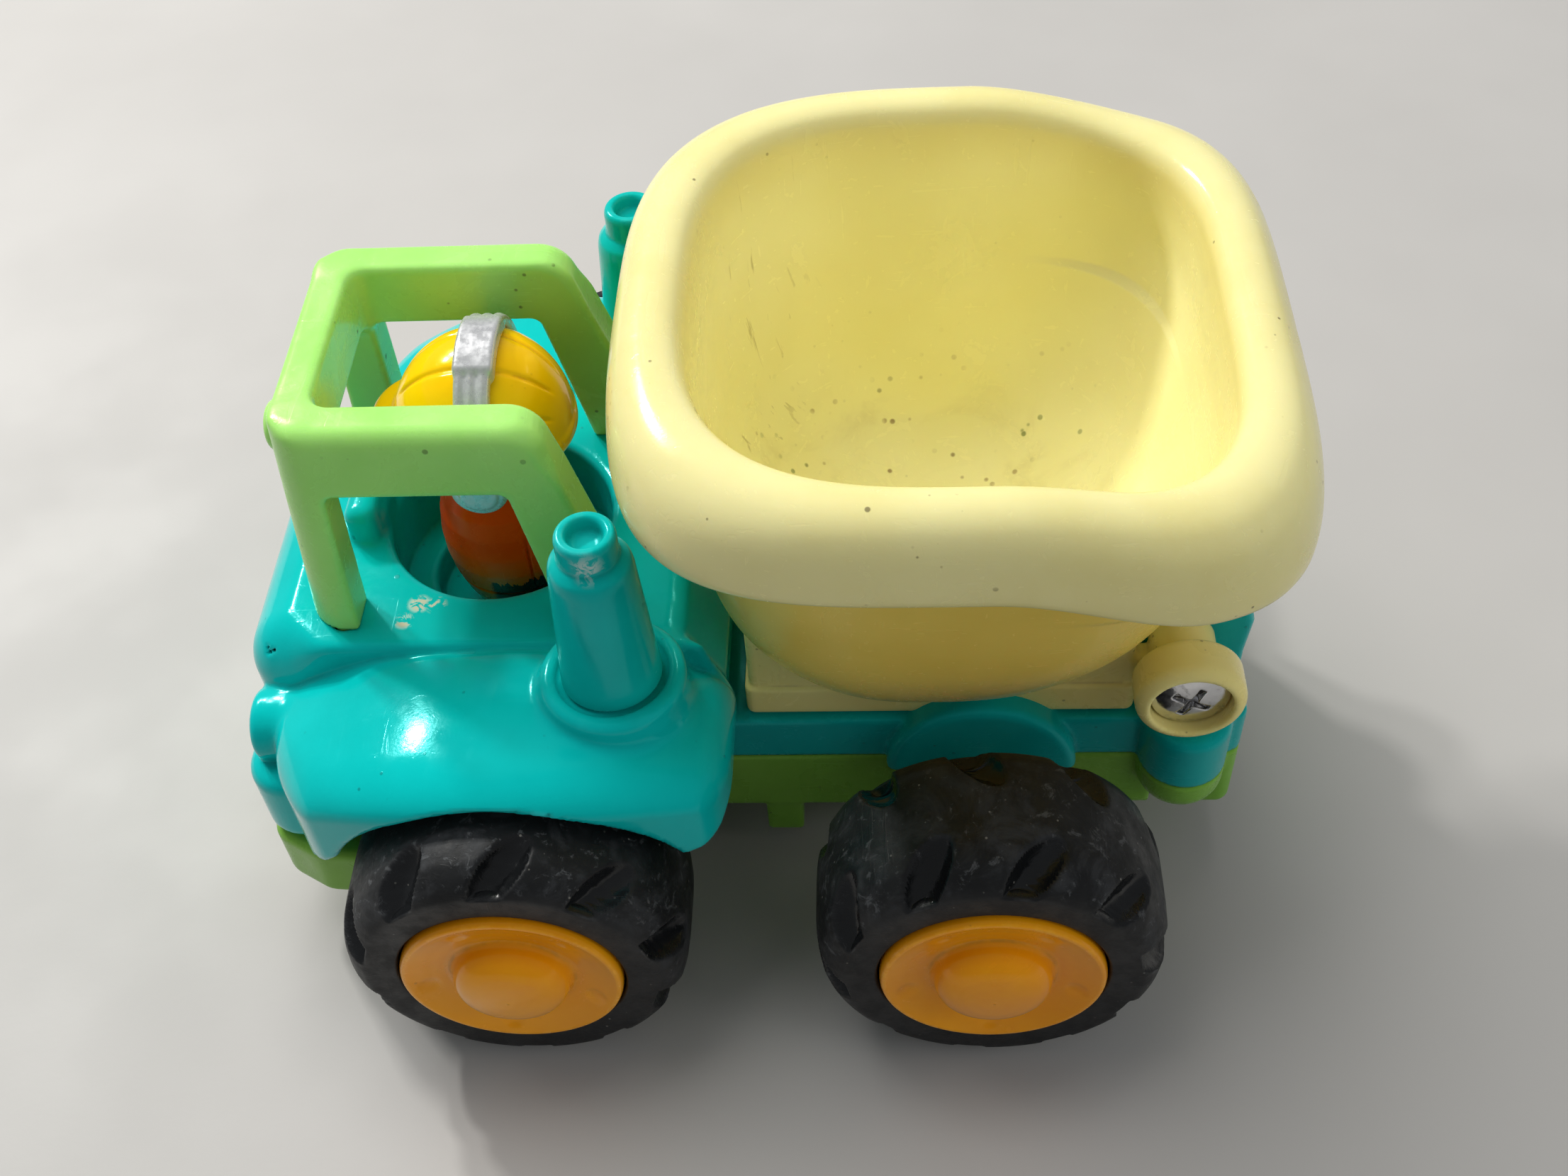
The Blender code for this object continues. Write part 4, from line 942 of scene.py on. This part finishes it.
def make_tyre(tag, cx, s, phase, slant):
    prof = tyre_profile()
    P = np.array(prof)
    m = len(P)
    # running length from the outer edge of the tread inwards, for the outer and inner row
    i_edge = int(np.argmin(np.abs(P[:, 0] - 17.45) + np.abs(P[:, 1] - 52.0)))
    i_edge2 = int(np.argmin(np.abs(P[:, 0] - 17.6) + np.abs(P[:, 1] - 33.1)))
    seg = np.linalg.norm(np.roll(P, -1, 0) - P, axis=1)
    arc = np.concatenate([[0], np.cumsum(seg)])[:m]
    s_out = arc[i_edge] - arc          # grows towards the inner side
    s_in = arc - arc[i_edge2]
    segs = 440 if FINE == 1.0 else 300
    th = np.arange(segs) * 2 * math.pi / segs
    nrm = np.roll(P, -1, 0) - np.roll(P, 1, 0)
    nrm = np.stack([nrm[:, 1], -nrm[:, 0]], 1)
    nrm /= np.linalg.norm(nrm, axis=1)[:, None]
    c = P.mean(0)
    if ((P - c) * nrm).sum() < 0:
        nrm = -nrm
    depth = np.zeros((m, segs))
    for row, (sv, ph) in enumerate(((s_out, 0.0), (s_in, math.pi / SCOOPS))):
        for k in range(SCOOPS):
            t0 = phase + ph + 2 * math.pi * k / SCOOPS
            d = (th[None, :] - t0 + math.pi) % (2 * math.pi) - math.pi
            circ = d * 19.6
            u = (sv[:, None] - 2.9) / 4.7
            w = (circ - slant * (sv[:, None] - 2.9) * 0.50) / 2.75
            rho = u * u + w * w
            cut = np.clip(1 - rho ** 1.2, 0, 1) ** 0.80
            depth = np.maximum(depth, cut * 2.05 * (sv[:, None] > -0.35) * np.clip((sv[:, None] + 0.35) / 0.35, 0, 1))
    wobble = 0.05 * np.sin(3 * th + phase)[None, :] * 0
    R = P[:, :1] - nrm[:, :1] * depth + wobble
    H = P[:, 1:2] - nrm[:, 1:] * depth
    # faint parting line round the tread
    R = R + 0.07 * np.exp(-((P[:, 1:2] - 43.2) / 0.16) ** 2) * (P[:, :1] > 20)
    R = R + 0.06 * np.exp(-((P[:, :1] - 15.3) / 0.25) ** 2) * 0
    T = np.repeat(th[None, :], m, 0)
    R = np.minimum(R, 20.5)
    X = cx + R * np.cos(T)
    Z = 20.5 + R * np.sin(T)
    V = np.stack([X, s * H, Z], -1).reshape(-1, 3)
    i = np.arange(m)[:, None]
    j = np.arange(segs)[None, :]
    q = np.stack([i * segs + j, i * segs + (j + 1) % segs, ((i + 1) % m) * segs + (j + 1) % segs,
                  ((i + 1) % m) * segs + j], -1).reshape(-1, 4)
    ob = mesh_object("tyre_tread_" + tag, V, q, M["rubber"])
    a = ob.data.attributes.new("scoop", "FLOAT", "POINT")
    a.data.foreach_set("value", np.clip(depth / 0.4, 0, 1).astype(F4).ravel())
    a = ob.data.attributes.new("tread", "FLOAT", "POINT")
    tr = step(17.6, 18.6, P[:, :1]) * (P[:, 1:2] > 36) + 0 * depth
    a.data.foreach_set("value", (tr * np.clip(1 - depth, 0, 1)).astype(F4).ravel())
    return ob


def hub_profile():
    return soften([(0.02, 55.4), (1.6, 55.36), (3.2, 55.2), (4.6, 54.9), (5.6, 54.45), (6.3, 53.8), (6.75, 52.9),
                   (6.95, 51.9), (7.3, 51.35), (7.9, 51.25), (9.6, 51.65), (11.4, 52.3), (12.4, 52.75), (12.8, 52.7),
                   (13.05, 52.2), (13.1, 51.4), (13.0, 49.9), (11.9, 49.6), (11.9, 35.6), (3.4, 35.4), (3.4, 33.4),
                   (1.9, 33.4), (1.9, 47.8), (0.02, 47.8)], r=0.4, pitch=0.28)


for tag, ax_, body, phase in (("front", AX_F, "front_wheels", math.radians(90 + 3.5)),
                              ("rear", AX_R, "rear_wheels", math.radians(90 + 11.8))):
    for side, s in (("left", 1), ("right", -1)):
        ty = make_tyre(tag + "_" + side, ax_[0], s, phase, 1.0)
        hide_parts("tyre_%s_%s" % (tag, side))
        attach(ty, body)
        turn = 0.0 if tag == "rear" else math.radians(8)

        def dimples(R, H, T, s=s, turn=turn):
            d = np.zeros_like(R)
            for k in range(5):
                a = math.radians(54 + 72 * k) + turn
                q = length(R * np.cos(T) - 10.4 * math.cos(a), R * np.sin(T) - 10.4 * math.sin(a))
                d = np.maximum(d, np.clip(1 - (q / 1.35) ** 2, 0, 1) * (H > 51.0))
            return R, s * (H - 0.30 * d)
        hb = revolve("wheel_hub_" + tag + "_" + side, hub_profile(), (ax_[0], 20.5), "Y", 160, M["hub"], shift=dimples)
        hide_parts("hub_%s_%s" % (tag, side))
        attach(hb, body)


# --------------------------------------------------------------- dump bucket
def smoothstep(e0, e1, x):
    t = np.clip((x - e0) / (e1 - e0), 0.0, 1.0)
    return t * t * (3.0 - 2.0 * t)


# level, front, rear, half width, squareness, share of the lip's drop, rim, inside
TUB = np.array([
    (31.2, -16.0, -26.5, 6.0, 2.1, 0.0, 0, 0), (31.35, -13.0, -29.5, 12.0, 2.2, 0.0, 0, 0),
    (32.0, -10.0, -33.0, 16.5, 2.4, 0.0, 0, 0),
    (33.8, -7.0, -37.0, 21.0, 2.6, 0.0, 0, 0), (37.4, -1.6, -41.6, 25.0, 2.8, 0.0, 0, 0),
    (45.5, 4.0, -49.2, 29.2, 3.0, 0.0, 0, 0), (56.0, 6.3, -53.6, 31.8, 3.2, 0.1, 0, 0),
    (66.0, 7.8, -56.0, 33.4, 3.3, 0.5, 0, 0), (76.4, 8.6, -57.0, 34.4, 3.2, 1.0, 0, 0),
    (77.6, 9.4, -57.8, 35.2, 3.2, 1.0, 0.3, 0), (77.4, 10.9, -59.2, 36.8, 3.3, 1.0, 1, 0),
    (74.0, 11.3, -59.9, 37.2, 3.4, 1.2, 1, 0), (71.5, 11.5, -60.4, 37.6, 3.6, 1.4, 1, 0),
    (70.9, 12.4, -61.5, 38.7, 3.7, 1.42, 1, 0), (71.4, 13.3, -62.4, 39.4, 3.7, 1.4, 1, 0),
    (73.0, 13.75, -62.7, 39.7, 3.6, 1.25, 1, 0), (75.5, 13.75, -62.4, 39.6, 3.4, 1.1, 1, 0),
    (77.8, 13.4, -61.6, 39.15, 3.2, 1.0, 1, 0), (79.6, 12.6, -60.5, 38.2, 3.05, 1.0, 1, 0),
    (80.8, 11.4, -59.3, 36.9, 2.95, 1.0, 1, 0), (81.45, 9.9, -57.8, 35.3, 2.9, 1.0, 1, 0),
    (81.5, 8.1, -56.2, 33.6, 2.9, 1.0, 1, 0), (80.9, 6.6, -54.9, 32.2, 2.9, 1.0, 1, 0.0),
    (79.6, 5.6, -54.1, 31.3, 2.95, 1.0, 0.8, 0.2), (77.4, 5.1, -53.8, 30.9, 3.0, 1.0, 0.45, 0.6),
    (73.5, 4.9, -53.6, 30.7, 3.1, 0.9, 0.15, 0.9),
    (66.0, 4.8, -53.2, 30.5, 3.2, 0.5, 0, 1),
    (56.0, 3.9, -51.1, 29.3, 3.1, 0.1, 0, 1), (46.0, 1.6, -46.8, 26.8, 2.9, 0.0, 0, 1),
    (39.0, -3.6, -39.8, 23.0, 2.7, 0.0, 0, 1), (35.4, -9.4, -34.6, 18.4, 2.5, 0.0, 0, 1),
    (33.7, -13.6, -30.0, 12.9, 2.3, 0.0, 0, 1), (33.4, -18.0, -25.5, 6.0, 2.1, 0.0, 0, 1)], float)
LIP_DROP = 3.3


def smooth_rows(rows, pitch):
    """Catmull-Rom through the rows, spaced by their travel in the section."""
    d = np.sqrt(((rows[1:, [0, 3]] - rows[:-1, [0, 3]]) ** 2).sum(1)) + 1e-6
    ext = np.vstack([2 * rows[0] - rows[1], rows, 2 * rows[-1] - rows[-2]])
    kn = np.concatenate([[-(d[0] ** 0.5)], [0], np.cumsum(d ** 0.5)])
    kn = np.append(kn, kn[-1] + d[-1] ** 0.5)
    out = []
    for i in range(len(rows) - 1):
        k = max(2, int(math.ceil(d[i] / pitch)))
        t0, t1, t2, t3 = kn[i], kn[i + 1], kn[i + 2], kn[i + 3]
        p0, p1, p2, p3 = ext[i], ext[i + 1], ext[i + 2], ext[i + 3]
        for s in range(k):
            t = t1 + (t2 - t1) * s / k
            a1 = (t1 - t) / (t1 - t0) * p0 + (t - t0) / (t1 - t0) * p1
            a2 = (t2 - t) / (t2 - t1) * p1 + (t - t1) / (t2 - t1) * p2
            a3 = (t3 - t) / (t3 - t2) * p2 + (t - t2) / (t3 - t2) * p3
            b1 = (t2 - t) / (t2 - t0) * a1 + (t - t0) / (t2 - t0) * a2
            b2 = (t3 - t) / (t3 - t1) * a2 + (t - t1) / (t3 - t1) * a3
            out.append((t2 - t) / (t2 - t1) * b1 + (t - t1) / (t2 - t1) * b2)
    out.append(rows[-1])
    return np.array(out)


def build_tub():
    rows = smooth_rows(TUB, 0.55 * FINE)
    count = int(320 / FINE)
    # even spacing round a superellipse
    P, rim, ins = [], [], []
    base_t = np.linspace(0, 2 * math.pi, 4001)[:-1]
    for z, front, rear, half, n, drop, rm, inn in rows:
        a, xc = (front - rear) / 2.0, (front + rear) / 2.0
        c, s = np.cos(base_t), np.sin(base_t)
        nn = np.where(c > 0, n, n + (0.8 if z > 60 else 0.3) * step(0.0, 0.3, -c))
        xx = xc + a * np.sign(c) * abs(c) ** (2.0 / nn)
        yy = half * np.sign(s) * abs(s) ** (2.0 / nn)
        seg = np.sqrt(np.diff(np.append(xx, xx[0])) ** 2 + np.diff(np.append(yy, yy[0])) ** 2)
        L = np.concatenate([[0], np.cumsum(seg)])
        want = np.linspace(0, L[-1], count + 1)[:-1]
        x = np.interp(want, L, np.append(xx, xx[0]))
        y = np.interp(want, L, np.append(yy, yy[0]))
        zz = z - LIP_DROP * drop * smoothstep(-27.0, -50.0, x)
        P.append(np.stack([x, y, zz], 1))
        rim.append(np.full(count, np.clip(rm, 0, 1)))
        ins.append(np.full(count, np.clip(inn, 0, 1)))
    P = np.array(P)
    m = len(P)
    P = P.reshape(-1, 3)
    i = np.arange(m - 1)[:, None]
    j = np.arange(count)[None, :]
    q = np.stack([i * count + j, i * count + (j + 1) % count, (i + 1) * count + (j + 1) % count,
                  (i + 1) * count + j], -1).reshape(-1, 4)
    faces = [tuple(f) for f in q.tolist()]
    faces.append(tuple(range(count)))
    faces.append(tuple(range((m - 1) * count, m * count)))
    ob = mesh_object("tub_shell", P, faces, M["tub"])
    for nm, v in (("rim", rim), ("inside", ins)):
        a = ob.data.attributes.new(nm, "FLOAT", "POINT")
        a.data.foreach_set("value", np.concatenate(v).astype(F4))
    return ob


tub = build_tub()
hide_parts("bucket_tub")
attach(tub, "bucket")

_O = TUB[:10]


def tub_outer(x, y, z):
    """About how far a point is outside the tub's outer skin, below the rim."""
    zz = np.clip(z, 31.3, 78.0)
    fr = np.interp(zz, _O[:, 0], _O[:, 1]).astype(F4)
    re = np.interp(zz, _O[:, 0], _O[:, 2]).astype(F4)
    hf = np.interp(zz, _O[:, 0], _O[:, 3]).astype(F4)
    n = np.interp(zz, _O[:, 0], _O[:, 4]).astype(F4) + 0.15
    a, xc = (fr - re) / 2, (fr + re) / 2
    g = (abs(x - xc) / a) ** n + (abs(y) / hf) ** n
    d = (g ** (1.0 / n) - 1) * np.minimum(a, hf)
    return np.maximum(d, (31.0 - z))


def base_field(x, y, z):
    ay = abs(y)
    foot = sbox(x, y, z, -46.6, 1.2, -19.8, 19.8, 28.2, 52.3, 1.1)
    wall = sbox(x, y, z, -46.0, 0.7, -19.3, 19.3, 28.2, 52.3, 0.9)
    ledge = rint(foot, z - 33.4, 0.5)
    c = np.minimum(ledge, wall)
    c = rsub(c, tub_outer(x, y, z) - 0.35, 0.3)
    # arm back to the pivot
    s1 = sbox(x, ay, z, -51.6, -45.1, 16.25, 19.05, 30.3, 37.7, 0.6)
    c = smin(c, s1, 0.8)
    pr = length(x - PIV[0], z - PIV[2])
    c = smin(c, rint(pr - 3.95, abs(ay - 19.1) - 3.1, 0.3), 0.5)
    ring = rint(pr - 6.5, ay - 27.1, 1.7)
    ring = rint(ring, 21.4 - ay, 0.9)
    c = smin(c, ring, 0.7)
    c = rsub(c, rint(pr - 4.8, 22.6 - ay, 0.1), 0.45)
    c = rint(c, -rint(pr - 1.55, 12.0 - ay, 0.1), 0.1)
    for sx in (-13.5, -29.0):
        c = rint(c, -rint(length(x - sx, y) - 2.5, z - 29.5, 0.1), 0.25)
        c = rint(c, -(length(x - sx, y) - 1.4), 0.1)
    return c


bs = field("tub_cradle", base_field, (-59.0, -28.0, 27.6), (2.2, 28.0, 53.0), 0.38, M["base"])
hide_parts("bucket_base")
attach(bs, "bucket")


# --------------------------------------------------------------------- screws
def cross_screw(name, node, centre, axis, z_face, out, head_r, dome, height, shank, tip, mat, body, h=0.13):
    """Pan head screw with a cross recess. out is +1 or -1, the way the head faces along the axis."""
    u0, v0 = centre

    def f(x, y, z):
        if axis == "Y":
            u, v, w = x - u0, z - v0, y
        else:
            u, v, w = x - u0, y - v0, z
        w = (z_face - w) * out           # depth below the crown
        r = length(u, v)
        crown = r - head_r
        top = -(w - dome * (r / head_r) ** 2)
        head = rint(crown, top, 0.25)
        head = rint(head, w - height, 0.15)
        ang = 0.5
        cu, cv = u * math.cos(ang) + v * math.sin(ang), -u * math.sin(ang) + v * math.cos(ang)
        arm = np.minimum(rint(abs(cu) - head_r * 0.52, abs(cv) - 0.42, 0.1),
                         rint(abs(cv) - head_r * 0.52, abs(cu) - 0.42, 0.1))
        arm = smin(arm, length(cu, cv) - 0.75, 0.3)
        head = rsub(head, rint(arm, w - 1.1 - dome * 0.3 + r * 0.25, 0.1), 0.12)
        sh = rint(r - shank, np.maximum(w - tip, height - 0.5 - w), 0.1)
        return np.minimum(head, sh)
    R = head_r + 0.3
    a, b = sorted((z_face + out * 0.3, z_face - out * (min(tip, height + 3.0) + 0.3)))
    lo = (u0 - R, a, v0 - R) if axis == "Y" else (u0 - R, v0 - R, a)
    hi = (u0 + R, b, v0 + R) if axis == "Y" else (u0 + R, v0 + R, b)
    ob = field(name, f, lo, hi, h, mat)
    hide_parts(node)
    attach(ob, body)
    return ob


for tag, s in (("left", 1), ("right", -1)):
    cross_screw("pivot_screw_head_" + tag, "pivot_screw_" + tag, (PIV[0], PIV[2]), "Y", s * 26.3, s, 4.62, 0.9, 2.0,
                1.2, 7.4, M["chrome"], "body", h=0.14)
for nm, sx, sy, z0 in SCREWS:
    cross_screw(nm + "_cross", nm, (sx, sy), "Z", z0 + 0.3, -1, 2.6, 0.35, 1.5, 1.2, 6.0, M["steel"], "body", h=0.13)

# --------------------------------------------------------------------- driver
DX = DRV[0]


def body_field(x, y, z):
    u = x - DX
    r = length(u, y)
    rad = np.interp(z, [28.0, 31.4, 31.6, 33.0, 36.0, 39.0, 42.0, 45.0, 48.0, 50.6, 53.0, 53.9],
                    [2.1, 2.1, 5.2, 6.3, 7.4, 8.2, 8.6, 8.6, 8.2, 7.5, 6.2, 5.0]).astype(F4)
    b = rint(r - rad, z - 53.9, 0.9)
    b = rint(b, 31.6 - z, 0.7)
    peg = rint(r - 2.1, abs(z - 30.6) - 1.9, 0.4)
    b = np.minimum(b, peg)
    ay = abs(y)
    # vertical seam at each side and a belt line
    seam = length(np.minimum(ay - 7.9, 0) * 0.25, (u + 3.4) * 1.0) - 0.16
    b = smax(b, -np.where(z > 33.5, seam, 9.0), 0.35)
    belt = length((z - 38.6), np.maximum(rad - 0.1 - r, 0) * 0.5) - 0.16
    return smax(b, -belt, 0.3)


def head_field(x, y, z):
    u = x - DX
    r = length(u, y)
    rad = np.interp(z, [54.0, 54.3, 55.0, 57.2, 59.6, 61.0], [2.4, 3.9, 6.5, 8.0, 8.45, 8.4]).astype(F4)
    c = rint(r - rad, abs(z - 57.55) - 3.35, 0.9)
    nose = length(u - 8.5, y, (z - 58.2) * 0.9) - 0.95
    return smin(c, nose, 0.9)


def helmet_field(x, y, z):
    u = x - DX
    ay = abs(y)
    r = length(u, y)
    zz = z - 61.2
    dome = length(u / 10.7, y / 10.7, np.maximum(zz, 0) / 11.3)
    dome = (dome - 1) * 10.7
    dome = rint(dome, 59.7 - z, 0.5)
    # melon ribs running fore and aft
    phi = np.arctan2(y, np.maximum(zz, 0.01) + 1.5)
    fade = step(9.6, 8.0, abs(u)) * step(-0.5, 1.5, zz)
    groove = np.zeros_like(dome + phi)
    for g in (-1.18, -0.72, -0.26, 0.26, 0.72, 1.18):
        groove = groove + np.exp(-((phi - g) / 0.030) ** 2)
    swell = 0.20 * np.cos((phi - 0.49) * 2 * math.pi / 0.46)
    dome = dome + (0.27 * groove) * fade - 0.5 * swell * fade * 0
    # rolled edge
    edge = rint(r - 10.75, abs(z - 60.8) - 0.9, 0.6)
    c = smin(dome, edge, 0.7)
    # visor
    vis = length((u - 7.4) / 1.05, y / 1.08) - 5.7
    vis = rint(vis, abs(z - 62.65 + (u - 7.0) * 0.06) - 1.25, 0.9)
    c = smin(c, vis, 1.0)
    # raised crest where the visor meets the dome
    c = rsub(c, rint(r - 9.0, z - 60.6, 0.2), 0.3)
    return c


def ears_field(x, y, z):
    u = x - DX
    ay = abs(y)
    zc = 61.4
    ra = length(y, (z - zc) / 1.03)
    ang = np.arctan2(z - zc, y)
    u = u + 1.9
    wave = 0.13 * np.cos((u - 1.0) * 2 * math.pi / 1.35)
    strip = rint(abs(ra - 11.2) - 0.75 - wave * 0.8, abs(u - 0.9) - 2.05, 0.35)
    strip = rint(strip, 60.5 - z, 0.3)
    block = rint(abs(ra - 11.35) - 1.0, abs(u - 0.75) - 2.35, 0.5)
    block = rint(block, ay - 5.0, 0.7)
    c = smin(strip, block, 0.4)
    rr = length(u - 1.0, z - 61.0)
    cup = rint(rr - 3.3, abs(ay - 11.4) - 1.4, 0.8)
    cup = smin(cup, rint(rr - 2.2, abs(ay - 12.2) - 0.85, 0.35), 0.4)
    return smin(c, cup, 0.6)


for nm, node, f, lo, hi, h, mt, slot in (
        ("driver_torso", "driver_body", body_field, (DX - 8.5, -8.5, 28.4), (DX + 8.5, 8.5, 54.4), 0.22, "body", "red_orange"),
        ("driver_face", "driver_head", head_field, (DX - 9, -9, 53.8), (DX + 10, 9, 61.2), 0.22, "skin", "skin"),
        ("driver_hard_hat", "driver_helmet", helmet_field, (DX - 11.2, -11.2, 59.2), (DX + 13.6, 11.2, 72.9), 0.2, "helmet", "yellow"),
        ("driver_ear_muffs", "ear_defenders", ears_field, (DX - 5.4, -13.3, 56.9), (DX + 3.6, 13.3, 74.3), 0.17, "silver", "silver")):
    ob = field(nm, f, lo, hi, h, M[mt])
    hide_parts(node)
    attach(ob, "driver")
for tag, s in (("left", 1), ("right", -1)):
    def eye(x, y, z, s=s):
        return length((x - DX - 7.95) * 1.3, y - s * 2.7, (z - 59.2) * 0.8) - 0.62
    ob = field("driver_eye_" + tag, eye, (DX + 7.0, s * 2.7 - 1, 58.0), (DX + 9.0, s * 2.7 + 1, 60.4), 0.1, M["dark"])
    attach(ob, "driver")

# ----------------------------------------------------- CAD nodes that are kept
KEPT = {"front_axle": "steel", "rear_axle": "steel", "drive_gear": "nylon", "idler_gear": "nylon",
        "idler_pin": "steel", "flywheel": "weight", "motor_case_left": "nylon", "motor_case_right": "nylon",
        "tub_screw_front": "steel", "tub_screw_rear": "steel"}
for node, mt in KEPT.items():
    ob = NODES[node]
    if ob.material_slots:
        for sl in ob.material_slots:
            sl.material = M[mt]
    else:
        ob.data.materials.append(M[mt])

# ------------------------------------------------------------ floor and lights
bpy.context.scene.view_settings.view_transform = "Standard"


def floor_material():
    k = Mat("pale_floor")
    c = k.mix(k.ramp(k.noise(9.0, 4.0, 0.6), 0.3, 0.7), (0.445, 0.435, 0.42), (0.475, 0.465, 0.45))
    k.out("Base Color", c)
    k.out("Roughness", k.ramp(k.noise(30.0, 3.0), 0.3, 0.7, 0.50, 0.62))
    k.l.new(k.bump(k.noise(900.0, 3.0), 0.00004, 0.3), k.b.inputs["Normal"])
    return k.m


S = 3.0
me = bpy.data.meshes.new("floor")
n = 24
pts, faces = [], []
for i in range(n + 1):
    for j in range(n + 1):
        pts.append((-S + 2 * S * i / n, -S + 2 * S * j / n, 0.0))
for i in range(n):
    for j in range(n):
        a = i * (n + 1) + j
        faces.append((a, a + n + 1, a + n + 2, a + 1))
me.from_pydata(pts, [], faces)
me.materials.append(floor_material())
floor = bpy.data.objects.new("floor", me)
bpy.context.scene.collection.objects.link(floor)

world = bpy.data.worlds.new("studio")
bpy.context.scene.world = world
world.use_nodes = True
bg = world.node_tree.nodes["Background"]
bg.inputs["Color"].default_value = (0.93, 0.96, 1.0, 1.0)
bg.inputs["Strength"].default_value = 0.24


def area(name, loc, target, size, watts, colour=(1, 1, 1), size_y=None, spread=None):
    d = bpy.data.lights.new(name, "AREA")
    d.shape = "RECTANGLE" if size_y else "SQUARE"
    d.size = size
    if size_y:
        d.size_y = size_y
    d.energy = watts
    d.color = colour
    if spread:
        d.spread = math.radians(spread)
    o = bpy.data.objects.new(name, d)
    o.location = loc
    o.rotation_euler = (Vector(target) - Vector(loc)).to_track_quat("-Z", "Y").to_euler()
    bpy.context.scene.collection.objects.link(o)
    return o


# the broad lights only shade; the two lamps are the ones mirrored in the plastic
area("soft_top", (0.20, -0.30, 0.95), (0, 0, 0.03), 0.70, 7.2, (1.0, 0.985, 0.96)).visible_glossy = False
area("lamp_a", (0.54, -0.655, 0.80), (0, 0, 0.04), 0.08, 4.8, (1.0, 0.98, 0.94))
area("lamp_b", (0.66, -0.56, 0.80), (0, 0, 0.04), 0.07, 4.0, (1.0, 0.98, 0.94))
area("side_fill", (-0.68, 0.62, 0.55), (0, 0, 0.03), 0.7, 0.95, (0.95, 0.98, 1.0)).visible_glossy = False
area("rear_fill", (-0.80, 0.22, 0.42), (-0.05, 0.02, 0.035), 0.35, 1.0, (1.0, 0.98, 0.94)).visible_glossy = False

# --------------------------------------------------------------------- camera
rv = Vector((-0.0114, 2.9949, -1.1283))
R = Matrix.Rotation(rv.length, 3, rv.normalized())
right, down, fwd = Vector(R[0]), Vector(R[1]), Vector(R[2])
cam = bpy.data.cameras.new("camera")
cam.sensor_fit = "HORIZONTAL"
cam.sensor_width = 36.0
cam.lens = 2443.5 / 2212.0 * 36.0
cam.clip_start = 0.01
cam.clip_end = 20.0
cam_ob = bpy.data.objects.new("camera", cam)
bpy.context.scene.collection.objects.link(cam_ob)
mw = Matrix((right, -down, -fwd)).transposed().to_4x4()
mw.translation = Vector((-16.0749, 150.4265, 200.9586)) * MM
cam_ob.matrix_world = mw
bpy.context.scene.camera = cam_ob
